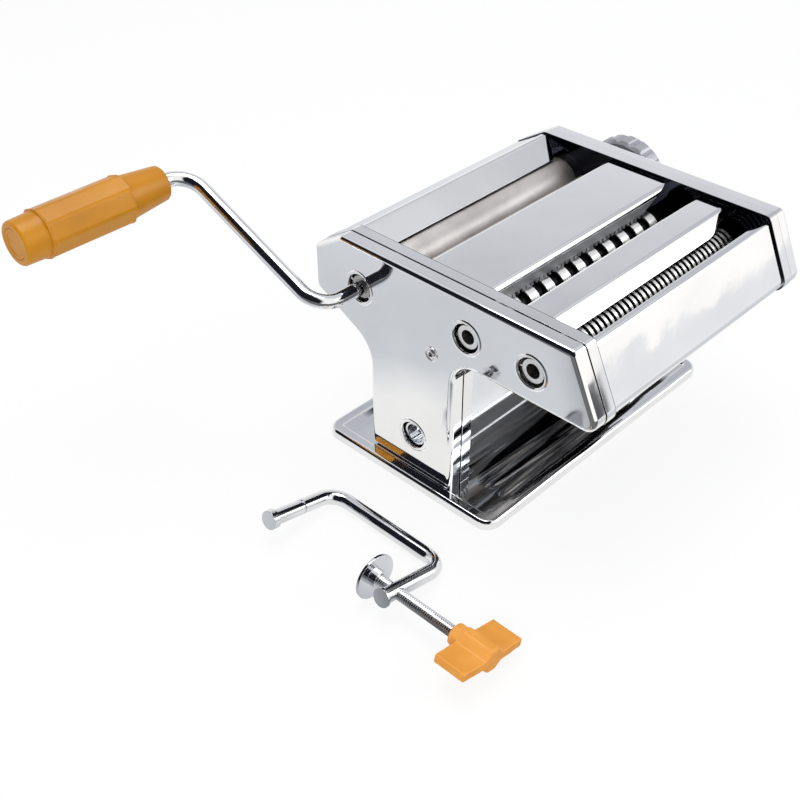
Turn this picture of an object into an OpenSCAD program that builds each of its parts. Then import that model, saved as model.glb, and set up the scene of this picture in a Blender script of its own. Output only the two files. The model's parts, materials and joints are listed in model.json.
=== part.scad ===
// Hand cranked pasta machine with smooth rollers, two ring cutters, crank and table clamp.
// Origin: centre of the base underside. X runs along the rollers, -Y is the front, Z is up.

/* [Body] */
// Height of the side frames above the table
body_h = 133; // [125:1:145]
// Distance between the two inner side plates
inner_w = 154; // [146:1:166]
// Depth of one gear housing, from inner plate face to outer cover face
housing_depth = 16; // [15.5:0.5:18]
// Width of the flange round each inner side frame
frame_flange = 7; // [5:0.5:7.5]
// Open seam between frame flange and cover flange
seam_gap = 0.6; // [0.4:0.1:1]
// Sheet thickness of the inner side frames
frame_t = 1.2; // [1:0.1:1.5]
// Sheet thickness of the outer side covers
cover_t = 1; // [0.8:0.1:1.2]
// Distance by which the outer cover stands inside the frame edge
cover_inset = 0.4; // [0.3:0.1:1]
// Rounding of the outer cover edge
cover_edge_r = 2.6; // [2:0.2:3.4]

/* [Side outline] */
// Reach of the top edge ahead of the origin
top_front = 99; // [97:0.5:102]
// Reach of the top edge behind the origin
top_back = 53; // [51:0.5:55]
// Reach of the back edge behind the origin
back_reach = 73; // [69:0.5:76]
// Drop of the upper back corner below the top
back_drop = 12.5; // [10:0.5:14]
// Drop of the lower back corner below the top
back_low_drop = 39; // [36:0.5:42]
// Drop of the corner between back and leg below the top
shoulder_drop = 60.4; // [56:0.2:64]
// Distance of the leg's back edge behind the origin
leg_back = 32.5; // [30:0.5:34]
// Distance of the leg's front edge ahead of the origin
leg_front = 27.5; // [25:0.5:30]
// Drop of the overhang's underside below the top
chin_drop = 41.5; // [40:0.5:46]
// Reach of the overhang's lower front corner ahead of the origin
chin_reach = 119; // [118:0.5:123]
// Radius of the inner corner between back and leg
shoulder_r = 20; // [12:1:24]
// Radius of the inner corner between overhang and leg
arch_r = 14; // [8:1:16]
// Radius of the overhang's lower front corner
chin_r = 7; // [6:0.5:11]
// Radius of the lower back corner
back_r = 5; // [3:0.5:7]
// Radius of the upper corners
top_r = 4; // [3.4:0.2:6]

/* [Base] */
// Width of the base
base_w = 202; // [196:1:214]
// Depth of the base
base_d = 125; // [116:1:135]
// Height of the base rim
base_h = 6.5; // [6:0.5:9]
// Sheet thickness of the base
base_t = 1.2; // [1:0.1:1.5]
// Corner radius of the base
base_corner_r = 9; // [7:0.5:12]
// Rounding of the base's upper edge
base_edge_r = 2.4; // [1.6:0.2:3]
// Width of the raised border round the base
border_w = 7.4; // [6:0.2:7.8]
// Depth of the step inside the border
border_step = 1.2; // [0.8:0.1:1.6]
// Radius of a rubber pad under the base
pad_r = 6; // [5:0.5:8]
// Distance of the rubber pads from the base edge
pad_edge = 18; // [16:0.5:24]

/* [Smooth rollers] */
// Radius of the smooth rollers
roller_r = 14; // [13.6:0.1:14.4]
// Room between a smooth roller and each side frame
roller_room = 6; // [5.5:0.5:12]
// Radius of the stepped roller ends
shoulder_end_r = 13.4; // [12:0.1:13.5]
// Distance of the cranked roller's axis behind the origin
drive_y = 39; // [38.5:0.1:39.5]
// Drop of the smooth roller axes below the top
roller_drop = 26; // [25.5:0.1:27]
// Gap between the smooth rollers at their closest
nip = 0.4; // [0.2:0.05:0.6]
// Change of the gap over the whole knob range
nip_travel = 2.4; // [2:0.1:2.6]
// Teeth on each smooth roller gear
roller_teeth = 14; // [12:1:16]
// Thickness of a roller gear tooth as a share of its space
roller_tooth_share = 0.41; // [0.38:0.01:0.42]
// Width of the roller gears
roller_gear_w = 7; // [5:0.5:7.5]

/* [Cutters] */
// Drop of the cutter axes below the top
cutter_drop = 22.8; // [22.4:0.1:23.2]
// Distance of the wide cutter's cranked axis ahead of the origin
wide_y = 35.2; // [34.8:0.1:35.6]
// Distance of the narrow cutter's cranked axis ahead of the origin
narrow_y = 76; // [75.6:0.1:76.4]
// Distance between the two axes of one cutter
cutter_d = 18; // [17.8:0.05:18.2]
// Depth by which the rings of a pair reach past each other
ring_overlap = 1.8; // [1.2:0.1:2.2]
// Clearance between a ring and the opposite groove floor
ring_clear = 0.3; // [0.2:0.05:0.5]
// Clearance at each flank of a ring
flank_clear = 0.1; // [0.05:0.05:0.15]
// Room between a cutter roller and each side frame
cutter_room = 3; // [3:0.5:7]
// Spacing of the wide rings
wide_pitch = 13; // [10:0.5:14]
// Spacing of the narrow rings
narrow_pitch = 4; // [3.6:0.1:5]
// Teeth on each cutter gear
cutter_teeth = 12; // [10:1:14]
// Thickness of a cutter gear tooth as a share of its space
cutter_tooth_share = 0.46; // [0.42:0.01:0.47]
// Width of the cutter gears
cutter_gear_w = 6; // [4:0.5:6.5]
// Thickness of the combs and scrapers
comb_t = 0.8; // [0.6:0.1:1]
// Length of the combs along their slope
comb_l = 16; // [13:0.5:17]
// Clearance between a comb finger and its roller
comb_clear = 0.15; // [0.1:0.05:0.3]

/* [Shafts and sockets] */
// Radius of the socketed roller ends
socket_r = 6.5; // [6:0.1:6.8]
// Depth of a crank socket
socket_l = 18; // [15:0.5:20]
// Width of the drive slot behind a socket
slot_w = 4; // [3.4:0.1:4.5]
// Length of the drive slot
slot_l = 7; // [6:0.5:8]
// Radius of the plain cutter shaft ends
pin_r = 4; // [3.5:0.1:4.5]
// Radial running clearance of every shaft in its bearing
run_clear = 0.05; // [0.03:0.01:0.09]
// Radial clearance of parts that are fixed in each other
fix_clear = 0.02; // [0.01:0.01:0.03]
// Radius of the access holes in the outer cover
access_r = 8.4; // [8:0.1:9]
// Thickness of the cutter bearing plates
bearing_t = 4; // [3:0.5:4]
// Radius of the round ends of a bearing plate
bearing_r = 8.8; // [8:0.1:9.5]
// Radius of the tie rods between the side frames
tie_r = 3; // [2.5:0.1:4]

/* [Thickness adjuster] */
// Radius of the eccentric axle
axle_r = 5; // [4.5:0.1:5]
// Outer radius of the floating bushes
bush_r = 6.5; // [6.4:0.1:6.8]
// Radius of the adjuster knob
knob_r = 26.5; // [23:0.5:28]
// Width of the adjuster knob
knob_w = 12.5; // [12:0.5:18]
// Free space between index plate and knob
knob_gap = 0.8; // [0.6:0.1:1.2]
// Radius of the index plate
index_r = 22; // [20:0.5:24]
// Thickness of the index plate
index_t = 3; // [2:0.2:3.4]
// Number of thickness settings
settings = 7; // [5:1:7]

/* [Crank] */
// Radius of the crank rod
crank_rod_r = 4; // [3.8:0.1:4.2]
// Length of the crank arm
crank_arm = 109.5; // [100:0.5:125]
// Angle of the crank arm above the horizontal
crank_angle = 23; // [10:1:30]
// Distance of the arm outside the cover face
crank_out = 28.8; // [26:0.2:36]
// Bend radius of the crank rod
crank_bend_r = 14.5; // [10:0.5:15.5]
// Distance from the bend to the grip
grip_start = 17; // [16:0.5:22]
// Length of the grip's tapered nose
nose_l = 25; // [20:0.5:28]
// Length of the grip's faceted middle
middle_l = 50; // [45:1:60]
// Length of the grip's round end
tail_l = 13.5; // [12:0.5:18]
// Radius of the nose at the rod
nose_r = 9.6; // [8:0.1:11]
// Radius of the round grip sections
grip_r = 12.4; // [11.4:0.1:13]
// Radius of the faceted middle over its corners
facet_r = 13.6; // [13:0.1:15]

/* [Clamp] */
// Radius of the clamp rod
clamp_rod_r = 4.1; // [3.9:0.1:4.5]
// Distance between the two arms of the clamp
clamp_span = 80; // [70:1:90]
// Length of the upper arm that hooks into the machine
hook_l = 48; // [44:1:56]
// Length of the lower arm
lower_l = 44.5; // [43:0.5:50]
// Distance of the screw from the long side
screw_reach = 36; // [34:0.5:37]
// Bend radius of the clamp rod
clamp_bend_r = 11; // [8:0.5:14]
// Radius of the clamp screw
screw_r = 3.2; // [2.8:0.1:3.4]
// Radius of the clamp foot
foot_r = 12.5; // [11:0.5:15]
// Distance of the foot from the lower arm
foot_out = 16; // [14:0.5:24]
// Distance of the wing knob from the lower arm
wing_out = 39; // [34:0.5:46]
// Width of the wing knob
wing_w = 43; // [34:1:46]
// Depth of the wings
wing_d = 19; // [16:0.5:22]
// Thickness of the wings
wing_t = 5; // [4:0.2:6]
// Length of the wing knob's hub
wing_hub_l = 24.5; // [23:0.5:28]
// Distance of the clamp's long side from the middle of the machine
clamp_x = 136.5; // [128:0.5:150]
// Distance of the clamp's lower arm ahead of the origin
clamp_y = 62; // [50:1:70]

/* [Covers] */
// Sheet thickness of the top covers and chute
sheet_t = 0.8; // [0.6:0.1:1]
// Drop of the centre cover below the top
centre_drop = 2; // [1.5:0.1:3]
// Drop of the middle cover below the top
middle_drop = 3; // [2:0.1:4]
// Height of the folded lips
lip_h = 6; // [4:0.2:6.5]
// Drop of the covers' sloped edges below the top
flap_drop = 10.4; // [10:0.1:10.6]
// Bend radius of the cover folds
fold_r = 3; // [1.5:0.5:4]
// Inner radius of the clamp socket
clamp_socket_r = 5.6; // [5.3:0.1:6]
// Outer radius of the clamp socket
clamp_tube_r = 7; // [6.6:0.1:7.5]
// Height of the clamp socket
clamp_socket_z = 29.4; // [26:0.2:33]

/* [Hidden] */
$fn = 48;
cut = 0.5;
least_r = 0.05;
arc_steps = 8;
edge_steps = 4;

// Places along X, from the middle outwards
inner_x = inner_w / 2;
roller_l = inner_w - 2 * roller_room;
cutter_l = inner_w - 2 * cutter_room;
outer_x = inner_x + housing_depth;
plate_x = inner_x + frame_t;
cover_x = outer_x - cover_t;
seam_x = inner_x + frame_flange;
end_gap = 0.3;
gear_gap = 0.4;
socket_inset = 1.5;
gear_x = plate_x + bearing_t + gear_gap;
socket_x = outer_x - socket_inset;

// Heights and axes
floor_z = base_h - border_step;
roller_z = body_h - roller_drop;
cutter_z = body_h - cutter_drop;
throw = nip_travel / 2;
adjust_y = drive_y - 2 * roller_r - nip - throw;
socket_bore = crank_rod_r + run_clear;
ring_r = (cutter_d + ring_overlap) / 2;
core_r = cutter_d - ring_r - ring_clear;
wide_back = -wide_y;
wide_front = -wide_y - cutter_d;
narrow_back = -narrow_y;
narrow_front = -narrow_y - cutter_d;

// Small named sizes of single pieces
journal_play = 0.2;
bush_wall = 3.5;
bush_flange_t = 1.4;
bush_flange_w = 2.4;
axle_bush_wall = 2;
post_r = 4.6;
post_y = 12.6;
post_drop = 43.2;
screw_shank_r = 2;
screw_head_r = 4.4;
screw_head_h = 1.4;
tie_end_r = 2;
tie_nut_r = 3.6;
tie_nut_t = 1.8;
tie_low_y = 18;
tie_low_up = 12;
tie_back_y = 60;
tie_back_drop = 28;
tie_front_y = 105;
tie_front_drop = 33;
clear_hole_w = 0.5;
neck_r = 8;
neck_hole_r = neck_r + throw + clear_hole_w;
slot_play = 0.2;
tongue_w = slot_w - 2 * slot_play;

function at(list, i) = list[(i + len(list)) % len(list)];
function flat(c) = [c[0], c[1]];
function unit(v) = v / norm(v);
function left(v) = [-v[1], v[0]];
function spun(v, a) = [v[0] * cos(a) - v[1] * sin(a), v[0] * sin(a) + v[1] * cos(a)];

// Angle turned at q on the way from p to n, positive to the left
function turn(p, q, n) = let (a = unit(q - p), b = unit(n - q))
    atan2(a[0] * b[1] - a[1] * b[0], a * b);

// Corner q moved to the left of the way from p to n by d
function moved(p, q, n, d) = let (a = left(unit(q - p)), b = left(unit(n - q)))
    q + d * (a + b) / (1 + a * b);

// Points of the round corner at q
function corner_arc(p, q, n, r, steps) =
    let (turned = turn(p, q, n), side = sign(turned), a = unit(q - p),
        reach = r * tan(abs(turned) / 2), centre = q - reach * a + side * r * left(a))
    r <= 0 || abs(turned) < 1 ? [q] :
    [for (i = [0:steps]) centre - side * r * spun(left(a), turned * i / steps)];

// Closed outline of corners [y, z, r], moved inwards by d
function inset_corners(c, d) = [for (i = [0:len(c) - 1])
    let (p = flat(at(c, i - 1)), q = flat(c[i]), n = flat(at(c, i + 1)), m = moved(p, q, n, d))
    [m[0], m[1], c[i][2] == 0 ? 0 : max(c[i][2] - sign(turn(p, q, n)) * d, least_r)]];
function outline(c, steps = arc_steps) = [for (i = [0:len(c) - 1])
    each corner_arc(flat(at(c, i - 1)), flat(c[i]), flat(at(c, i + 1)), c[i][2], steps)];

// Open line of corners [y, z, r], moved to its left by d
function end_moved(p, q, at_q, d) = at_q + d * left(unit(q - p));
function line_corners(c, d) = let (last = len(c) - 1) [for (i = [0:last])
    i == 0 ? concat(end_moved(flat(c[0]), flat(c[1]), flat(c[0]), d), 0) :
    i == last ? concat(end_moved(flat(c[i - 1]), flat(c[i]), flat(c[i]), d), 0) :
    let (p = flat(c[i - 1]), q = flat(c[i]), n = flat(c[i + 1]), m = moved(p, q, n, d))
    [m[0], m[1], max(c[i][2] - sign(turn(p, q, n)) * d, 0)]];
function line_points(c) = let (last = len(c) - 1) [for (i = [0:last])
    each i == 0 || i == last ? [flat(c[i])] :
    corner_arc(flat(c[i - 1]), flat(c[i]), flat(c[i + 1]), c[i][2], arc_steps)];
function reversed(list) = [for (i = [len(list) - 1:-1:0]) list[i]];
function sheet_outline(c, t) = concat(line_points(c), reversed(line_points(line_corners(c, t))));

// Side outline, anticlockwise seen from +X, as [y, z, corner radius]
side_corners = [
    [-leg_front, floor_z, 0],
    [leg_back, floor_z, 0],
    [leg_back, body_h - shoulder_drop, shoulder_r],
    [back_reach, body_h - back_low_drop, back_r],
    [back_reach, body_h - back_drop, top_r],
    [top_back, body_h, top_r],
    [-top_front, body_h, top_r],
    [-chin_reach, body_h - chin_drop, chin_r],
    [-leg_front, body_h - chin_drop, arch_r]];

// Puts an outline in Y and Z at x0 and gives it a length along X
module along_x(x0, length) {
    translate([x0, 0, 0]) rotate([90, 0, 90]) linear_extrude(length) children();
}

module rod_x(r, x0, x1, y = 0, z = 0) {
    translate([x0, y, z]) rotate([0, 90, 0]) cylinder(r = r, h = x1 - x0);
}

module sheet_x(corners, t, length) {
    along_x(-length / 2, length) polygon(sheet_outline(corners, t));
}

// Solid through rings of points, each ring given as [height, points] with equal counts.
// Both ends are closed by a fan from the middle point, which sees the whole outline.
module skin(rings, middle) {
    count = len(rings[0][1]);
    last = (len(rings) - 1) * count;
    points = concat([for (ring = rings) each [for (p = ring[1]) [p[0], p[1], ring[0]]]],
        [[middle[0], middle[1], rings[0][0]]],
        [[middle[0], middle[1], rings[len(rings) - 1][0]]]);
    sides = [for (k = [0:len(rings) - 2], i = [0:count - 1])
        let (a = k * count + i, b = k * count + (i + 1) % count)
        each [[a, b + count, b], [a, a + count, b + count]]];
    ends = [for (i = [0:count - 1]) let (j = (i + 1) % count)
        each [[i, j, last + count], [last + j, last + i, last + count + 1]]];
    polyhedron(points, concat(sides, ends), convexity = 8);
}

// Heights and insets of a rounded edge that ends at height h
function edge_rings(c, h0, h, r, d) = [
    [h0, outline(inset_corners(c, d))],
    for (k = [0:edge_steps]) let (a = 90 * k / edge_steps)
        [h - r + r * sin(a), outline(inset_corners(c, d + r * (1 - cos(a))))]];

// Angle between the involute's foot and the point where its pressure angle is a
function involute(a) = tan(a) * 180 / PI - a;

// Gear with involute teeth, one tooth standing along X
module gear(teeth, pitch_r, share, width, bore_r) {
    unit_size = 2 * pitch_r / teeth;
    root_r = pitch_r - unit_size * root_share;
    base_r = pitch_r * cos(pressure_angle);
    low_r = max(root_r, base_r);
    step = 360 / teeth;
    wide_half = step * share / 2 + involute(pressure_angle);
    flank = concat(root_r < base_r ? [[root_r, wide_half]] : [],
        [for (i = [0:flank_steps]) let (r = low_r + (pitch_r + unit_size - low_r) * i / flank_steps)
            [r, wide_half - involute(acos(min(1, base_r / r)))]]);
    difference() {
        linear_extrude(width) polygon([for (i = [0:teeth - 1], side = [-1, 1],
            p = side < 0 ? flank : reversed(flank))
            p[0] * [cos(step * i + side * p[1]), sin(step * i + side * p[1])]]);
        translate([0, 0, -cut]) cylinder(r = bore_r, h = width + 2 * cut);
    }
}
flank_steps = 4;
root_share = 1.2;
pressure_angle = 25;

module base_plate() {
    half_w = base_w / 2;
    half_d = base_d / 2;
    corners = [[-half_w, -half_d, base_corner_r], [half_w, -half_d, base_corner_r],
        [half_w, half_d, base_corner_r], [-half_w, half_d, base_corner_r]];
    outer = concat(edge_rings(corners, pad_proud, base_h, base_edge_r, 0),
        [[base_h, outline(inset_corners(corners, border_w - border_step))],
        [floor_z, outline(inset_corners(corners, border_w))]]);
    inner_r = base_edge_r - base_t;
    inner = concat(edge_rings(corners, -cut, base_h - base_t, inner_r, base_t),
        [[base_h - base_t, outline(inset_corners(corners, border_w - border_step))],
        [floor_z - base_t, outline(inset_corners(corners, border_w))]]);
    color("gainsboro") difference() {
        skin(outer, [0, 0]);
        skin(inner, [0, 0]);
    }
}

// The pads stand a little below the base rim
pad_proud = 0.8;
module rubber_pad(side, end) {
    color("dimgray") translate([side * (base_w / 2 - pad_edge), end * (base_d / 2 - pad_edge), 0])
        cylinder(r = pad_r, h = floor_z - base_t);
}

// Pressed side frame with a flange all round, on the +X side
module frame_shell() {
    along_x(inner_x, frame_t) polygon(outline(side_corners));
    along_x(inner_x, frame_flange) difference() {
        polygon(outline(side_corners));
        polygon(outline(inset_corners(side_corners, frame_t)));
    }
    rod_x(post_r, plate_x, cover_x, -post_y, body_h - post_drop);
}

module frame_hole(r, y, z) {
    rod_x(r, inner_x - cut, plate_x + cut, y, z);
}

module tie_holes() {
    frame_hole(tie_end_r + fix_clear, tie_low_y, floor_z + tie_low_up);
    frame_hole(tie_end_r + fix_clear, tie_back_y, body_h - tie_back_drop);
    frame_hole(tie_end_r + fix_clear, -tie_front_y, body_h - tie_front_drop);
}

module post_hole() {
    rod_x(screw_shank_r + fix_clear, inner_x - cut, cover_x + cut, -post_y, body_h - post_drop);
}

module crank_side_frame() {
    color("silver") mirror([1, 0, 0]) difference() {
        frame_shell();
        tie_holes();
        post_hole();
        frame_hole(socket_r + bush_wall + fix_clear, drive_y, roller_z);
        frame_hole(axle_r + axle_bush_wall + fix_clear, adjust_y, roller_z);
        for (y = [wide_back, narrow_back]) {
            frame_hole(socket_r + clear_hole_w, y, cutter_z);
            frame_hole(pin_r + clear_hole_w, y - cutter_d, cutter_z);
        }
        frame_hole(clamp_tube_r + fix_clear, 0, clamp_socket_z);
    }
}

module knob_side_frame() {
    color("silver") difference() {
        frame_shell();
        tie_holes();
        post_hole();
        frame_hole(socket_r + bush_wall + fix_clear, drive_y, roller_z);
        frame_hole(neck_hole_r, adjust_y, roller_z);
        for (y = [wide_back, wide_front, narrow_back, narrow_front])
            frame_hole(pin_r + clear_hole_w, y, cutter_z);
    }
}

// Rounded outer cover with its flange towards the seam, on the +X side. It is open below,
// so its outline first runs through the floor and is then cut off there.
module cover_shell() {
    start_x = seam_x + seam_gap;
    below = cover_inset + cover_edge_r + cover_t;
    corners = [for (i = [0:len(side_corners) - 1]) i > 1 ? side_corners[i] :
        [side_corners[i][0], floor_z - below, 0]];
    middle = [0, body_h - roller_drop];
    difference() {
        rotate([90, 0, 90]) difference() {
            skin(edge_rings(corners, start_x, outer_x, cover_edge_r, cover_inset), middle);
            skin(edge_rings(corners, start_x - cut, cover_x, cover_edge_r - cover_t,
                cover_inset + cover_t), middle);
        }
        translate([0, -base_d, -base_h]) cube([base_w, 2 * base_d, base_h + floor_z]);
    }
}

module cover_hole(r, y, z) {
    rod_x(r, cover_x - cut, outer_x + cut, y, z);
}

module crank_side_cover() {
    color("gainsboro") mirror([1, 0, 0]) difference() {
        cover_shell();
        cover_hole(screw_shank_r + fix_clear, -post_y, body_h - post_drop);
        cover_hole(access_r, drive_y, roller_z);
        cover_hole(access_r, wide_back, cutter_z);
        cover_hole(access_r, narrow_back, cutter_z);
        cover_hole(access_r, 0, clamp_socket_z);
    }
}

module knob_side_cover() {
    color("gainsboro") difference() {
        cover_shell();
        cover_hole(screw_shank_r + fix_clear, -post_y, body_h - post_drop);
        cover_hole(axle_r + index_boss_w + fix_clear, adjust_y, roller_z);
    }
}
index_boss_w = 3;

// Folded back sheet: lower lip, back wall, upper slope and dough hopper slope
rear_lip_y = 46;
ridge_y = 52;
hopper_y = 38.6;
rear_inset = 0.3;
module rear_plate() {
    wall_y = back_reach - rear_inset;
    low_z = body_h - back_low_drop + rear_inset;
    slope = (back_low_drop - shoulder_drop) / (back_reach - leg_back);
    color("gainsboro") sheet_x([
        [rear_lip_y, low_z + slope * (wall_y - rear_lip_y), 0],
        [wall_y, low_z, back_r - rear_inset],
        [wall_y, body_h - back_drop - rear_inset, top_r],
        [ridge_y, body_h - rear_inset, top_r],
        [hopper_y, body_h - flap_drop, 0]], sheet_t, inner_w);
}

centre_back = 6;
centre_fold = -30;
centre_front = -38.6;
module centre_cover() {
    top_z = body_h - centre_drop;
    color("gainsboro") sheet_x([
        [centre_back, top_z - lip_h, 0], [centre_back, top_z, fold_r],
        [centre_fold, top_z, fold_r + sheet_t],
        [centre_front, body_h - flap_drop, 0]], sheet_t, inner_w);
}

middle_back = -54.5;
middle_fold = -72.5;
middle_front = -79.6;
module middle_cover() {
    top_z = body_h - middle_drop;
    color("gainsboro") sheet_x([
        [middle_back, top_z - lip_h, 0], [middle_back, top_z, fold_r],
        [middle_fold, top_z, fold_r + sheet_t],
        [middle_front, body_h - flap_drop, 0]], sheet_t, inner_w);
}

front_back = -95;
front_return = 10;
front_inset = 1.2;
module front_cover() {
    inner = inset_corners(side_corners, front_inset);
    top_z = body_h - middle_drop;
    shoulder = flat(inner[6]);
    chin = flat(inner[7]);
    lean = unit(chin - shoulder);
    down = (shoulder[1] - top_z) / -lean[1];
    color("gainsboro") sheet_x([
        [front_back, top_z - lip_h, 0], [front_back, top_z, sheet_t],
        [shoulder[0] + lean[0] * down, top_z, top_r],
        [chin[0], chin[1], inner[7][2]],
        [chin[0] + front_return + chin_r, chin[1], 0]], sheet_t, inner_w);
}

chute_top_y = 29.5;
chute_top_drop = 45;
chute_bend_y = 26;
chute_bend_drop = 57;
chute_foot_y = 1.5;
chute_foot_up = 4;
chute_flange = 8;
module chute_plate() {
    color("gainsboro") sheet_x([
        [chute_top_y, body_h - chute_top_drop, 0],
        [chute_bend_y, body_h - chute_bend_drop, shoulder_r],
        [chute_foot_y, floor_z + chute_foot_up, fold_r + sheet_t],
        [chute_foot_y - chute_flange, floor_z + sheet_t, 0]], sheet_t, inner_w);
}

module tie_rod(y, z) {
    color("silver") {
        rod_x(tie_r, -inner_x, inner_x, y, z);
        rod_x(tie_end_r, -plate_x - tie_nut_t, plate_x + tie_nut_t, y, z);
        for (x = [-plate_x - tie_nut_t, plate_x])
            translate([x, y, z]) rotate([0, 90, 0]) cylinder(r = tie_nut_r, h = tie_nut_t, $fn = 6);
    }
}

module clamp_socket() {
    color("silver") difference() {
        rod_x(clamp_tube_r, -socket_x, -inner_x, 0, clamp_socket_z);
        rod_x(clamp_socket_r, -socket_x - cut, -inner_x + cut, 0, clamp_socket_z);
    }
}

// Pan head screw through the cover into its post, on the +X side
module cover_screw() {
    z = body_h - post_drop;
    color("silver") {
        rod_x(screw_shank_r, plate_x, outer_x, -post_y, z);
        translate([outer_x, -post_y, z]) rotate([90, 0, 90]) rotate_extrude() polygon([
            [0, 0], [screw_head_r, 0], [screw_head_r, screw_head_h * head_rim_share],
            [screw_head_r * head_top_share, screw_head_h], [0, screw_head_h]]);
    }
}
head_rim_share = 0.35;
head_top_share = 0.7;

// Slab that lies at radius r off an axis, touched at an angle below the horizontal and
// running down from there. side is 1 for a roller behind the gap, -1 for one ahead of it.
module tangent_slab(r, side, y, z, l0, l1, x0, x1, angle) {
    translate([0, y, z]) mirror([0, side < 0 ? 1 : 0, 0]) rotate([angle, 0, 0])
        translate([x0, -r - comb_t, -l1]) cube([x1 - x0, comb_t, l1 - l0]);
}
comb_angle = 40;
scraper_angle = 50;
scraper_l = 14;

// Positions of the middles of the gaps between rings, for one roller of a pair
function ring_count(pitch) = floor((cutter_l - pitch) / pitch);
function ring_places(pitch, shifted) = let (n = ring_count(pitch)) [for (i = [0:n - 1])
    (i - (n - 1) / 2) * pitch + (shifted ? pitch / 4 : -pitch / 4)];

module comb(y, side, pitch, shifted) {
    touch_r = core_r + comb_clear;
    web_start = sqrt(pow(ring_r + end_gap, 2) - pow(touch_r, 2));
    finger_w = pitch / 2 - 2 * comb_clear;
    color("darkgray") {
        tangent_slab(touch_r, side, y, cutter_z, web_start, comb_l, -inner_x, inner_x, comb_angle);
        for (x = ring_places(pitch, !shifted))
            tangent_slab(touch_r, side, y, cutter_z, 0, web_start + comb_t,
                x - finger_w / 2, x + finger_w / 2, comb_angle);
    }
}

module drive_scraper() {
    color("darkgray") tangent_slab(roller_r + comb_clear, 1, drive_y, roller_z, 0, scraper_l,
        -inner_x, inner_x, scraper_angle);
}

module adjust_scraper() {
    color("darkgray") tangent_slab(roller_r + throw + comb_clear, -1, adjust_y, roller_z,
        0, scraper_l, -inner_x, inner_x, scraper_angle);
}

// Flanged bush in a side frame, on the +X side
module frame_bush(bore, wall, y) {
    difference() {
        union() {
            rod_x(bore + wall, inner_x, plate_x + bush_flange_t, y, roller_z);
            rod_x(bore + wall + bush_flange_w, plate_x, plate_x + bush_flange_t, y, roller_z);
        }
        rod_x(bore, inner_x - cut, plate_x + bush_flange_t + cut, y, roller_z);
    }
}

module drive_bush_crank() {
    color("ivory") mirror([1, 0, 0])
        frame_bush(socket_r + run_clear, bush_wall - run_clear, drive_y);
}

module drive_bush_knob() {
    color("ivory") frame_bush(socket_r + run_clear, bush_wall - run_clear, drive_y);
}

module axle_bush() {
    color("ivory") mirror([1, 0, 0])
        frame_bush(axle_r + run_clear, axle_bush_wall - run_clear, adjust_y);
}

// Plate with two bearing bores on the outside of a frame, on the +X side
module bearing_plate(back_y, back_bore) {
    color("ivory") difference() {
        union() {
            for (y = [back_y, back_y - cutter_d])
                rod_x(bearing_r, plate_x, plate_x + bearing_t, y, cutter_z);
            translate([plate_x, back_y - cutter_d, cutter_z - bearing_r])
                cube([bearing_t, cutter_d, 2 * bearing_r]);
        }
        rod_x(back_bore, plate_x - cut, plate_x + bearing_t + cut, back_y, cutter_z);
        rod_x(pin_r + run_clear, plate_x - cut, plate_x + bearing_t + cut,
            back_y - cutter_d, cutter_z);
    }
}

// Index plate of the adjuster, with a bearing boss and one hole for each setting
pin_place = 17.5;
locate_r = 1.5;
setting_step = 180 / (settings - 1);
boss_in = 1.4;
module index_plate() {
    color("darkgray") difference() {
        union() {
            rod_x(index_r, outer_x, outer_x + index_t, adjust_y, roller_z);
            rod_x(axle_r + index_boss_w, cover_x - boss_in + cover_t, outer_x, adjust_y, roller_z);
        }
        rod_x(axle_r + run_clear, cover_x - boss_in - cut, outer_x + index_t + cut,
            adjust_y, roller_z);
        for (i = [0:settings - 1]) translate([0, adjust_y, roller_z])
            rotate([i * setting_step, 0, 0]) rod_x(locate_r + clear_hole_w, outer_x - cut,
                outer_x + index_t + cut, 0, pin_place);
    }
}

// Socket for the crank in the -X end of a shaft, with a drive slot behind it
module crank_socket(y, z, angle) {
    rod_x(socket_bore, -socket_x - cut, -socket_x + socket_l, y, z);
    translate([-socket_x + socket_l - cut, y, z]) rotate([angle, 0, 0])
        translate([0, -socket_bore, -slot_w / 2]) cube([slot_l + cut, 2 * socket_bore, slot_w]);
}

module drive_roller() {
    half = roller_l / 2;
    color("gainsboro") difference() {
        union() {
            rod_x(roller_r, -half, half, drive_y, roller_z);
            rod_x(shoulder_end_r, -inner_x + journal_play, inner_x - journal_play, drive_y, roller_z);
            rod_x(socket_r, -socket_x, gear_x + roller_gear_w, drive_y, roller_z);
        }
        crank_socket(drive_y, roller_z, crank_angle);
    }
}

roller_pitch_r = roller_r + nip / 2;
module drive_gear() {
    color("silver") translate([gear_x, drive_y, roller_z]) rotate([90, 0, 90])
        gear(roller_teeth, roller_pitch_r, roller_tooth_share, roller_gear_w,
            socket_r + fix_clear);
}

// The second gear starts a little back from mid mesh, as the axle lifts it half way round
mesh_shift_share = 0.3;
mesh_shift = throw * mesh_shift_share / roller_pitch_r * 180 / PI;
half_mesh = 360 / roller_teeth / 2;
module adjust_gear() {
    color("silver") translate([gear_x, adjust_y + throw, roller_z]) rotate([90, 0, 90])
        rotate([0, 0, half_mesh - mesh_shift]) gear(roller_teeth, roller_pitch_r,
            roller_tooth_share, roller_gear_w, neck_r + fix_clear);
}

// Crank coordinates: shaft along X, arm along the turned Y
module at_crank() {
    translate([-outer_x - crank_out, drive_y, roller_z]) rotate([crank_angle, 0, 0]) children();
}

module straight_rod(p, q, r) {
    d = q - p;
    translate([p[0], p[1], 0]) rotate([0, 0, atan2(d[1], d[0])]) rotate([0, 90, 0])
        cylinder(r = r, h = norm(d));
}

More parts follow.
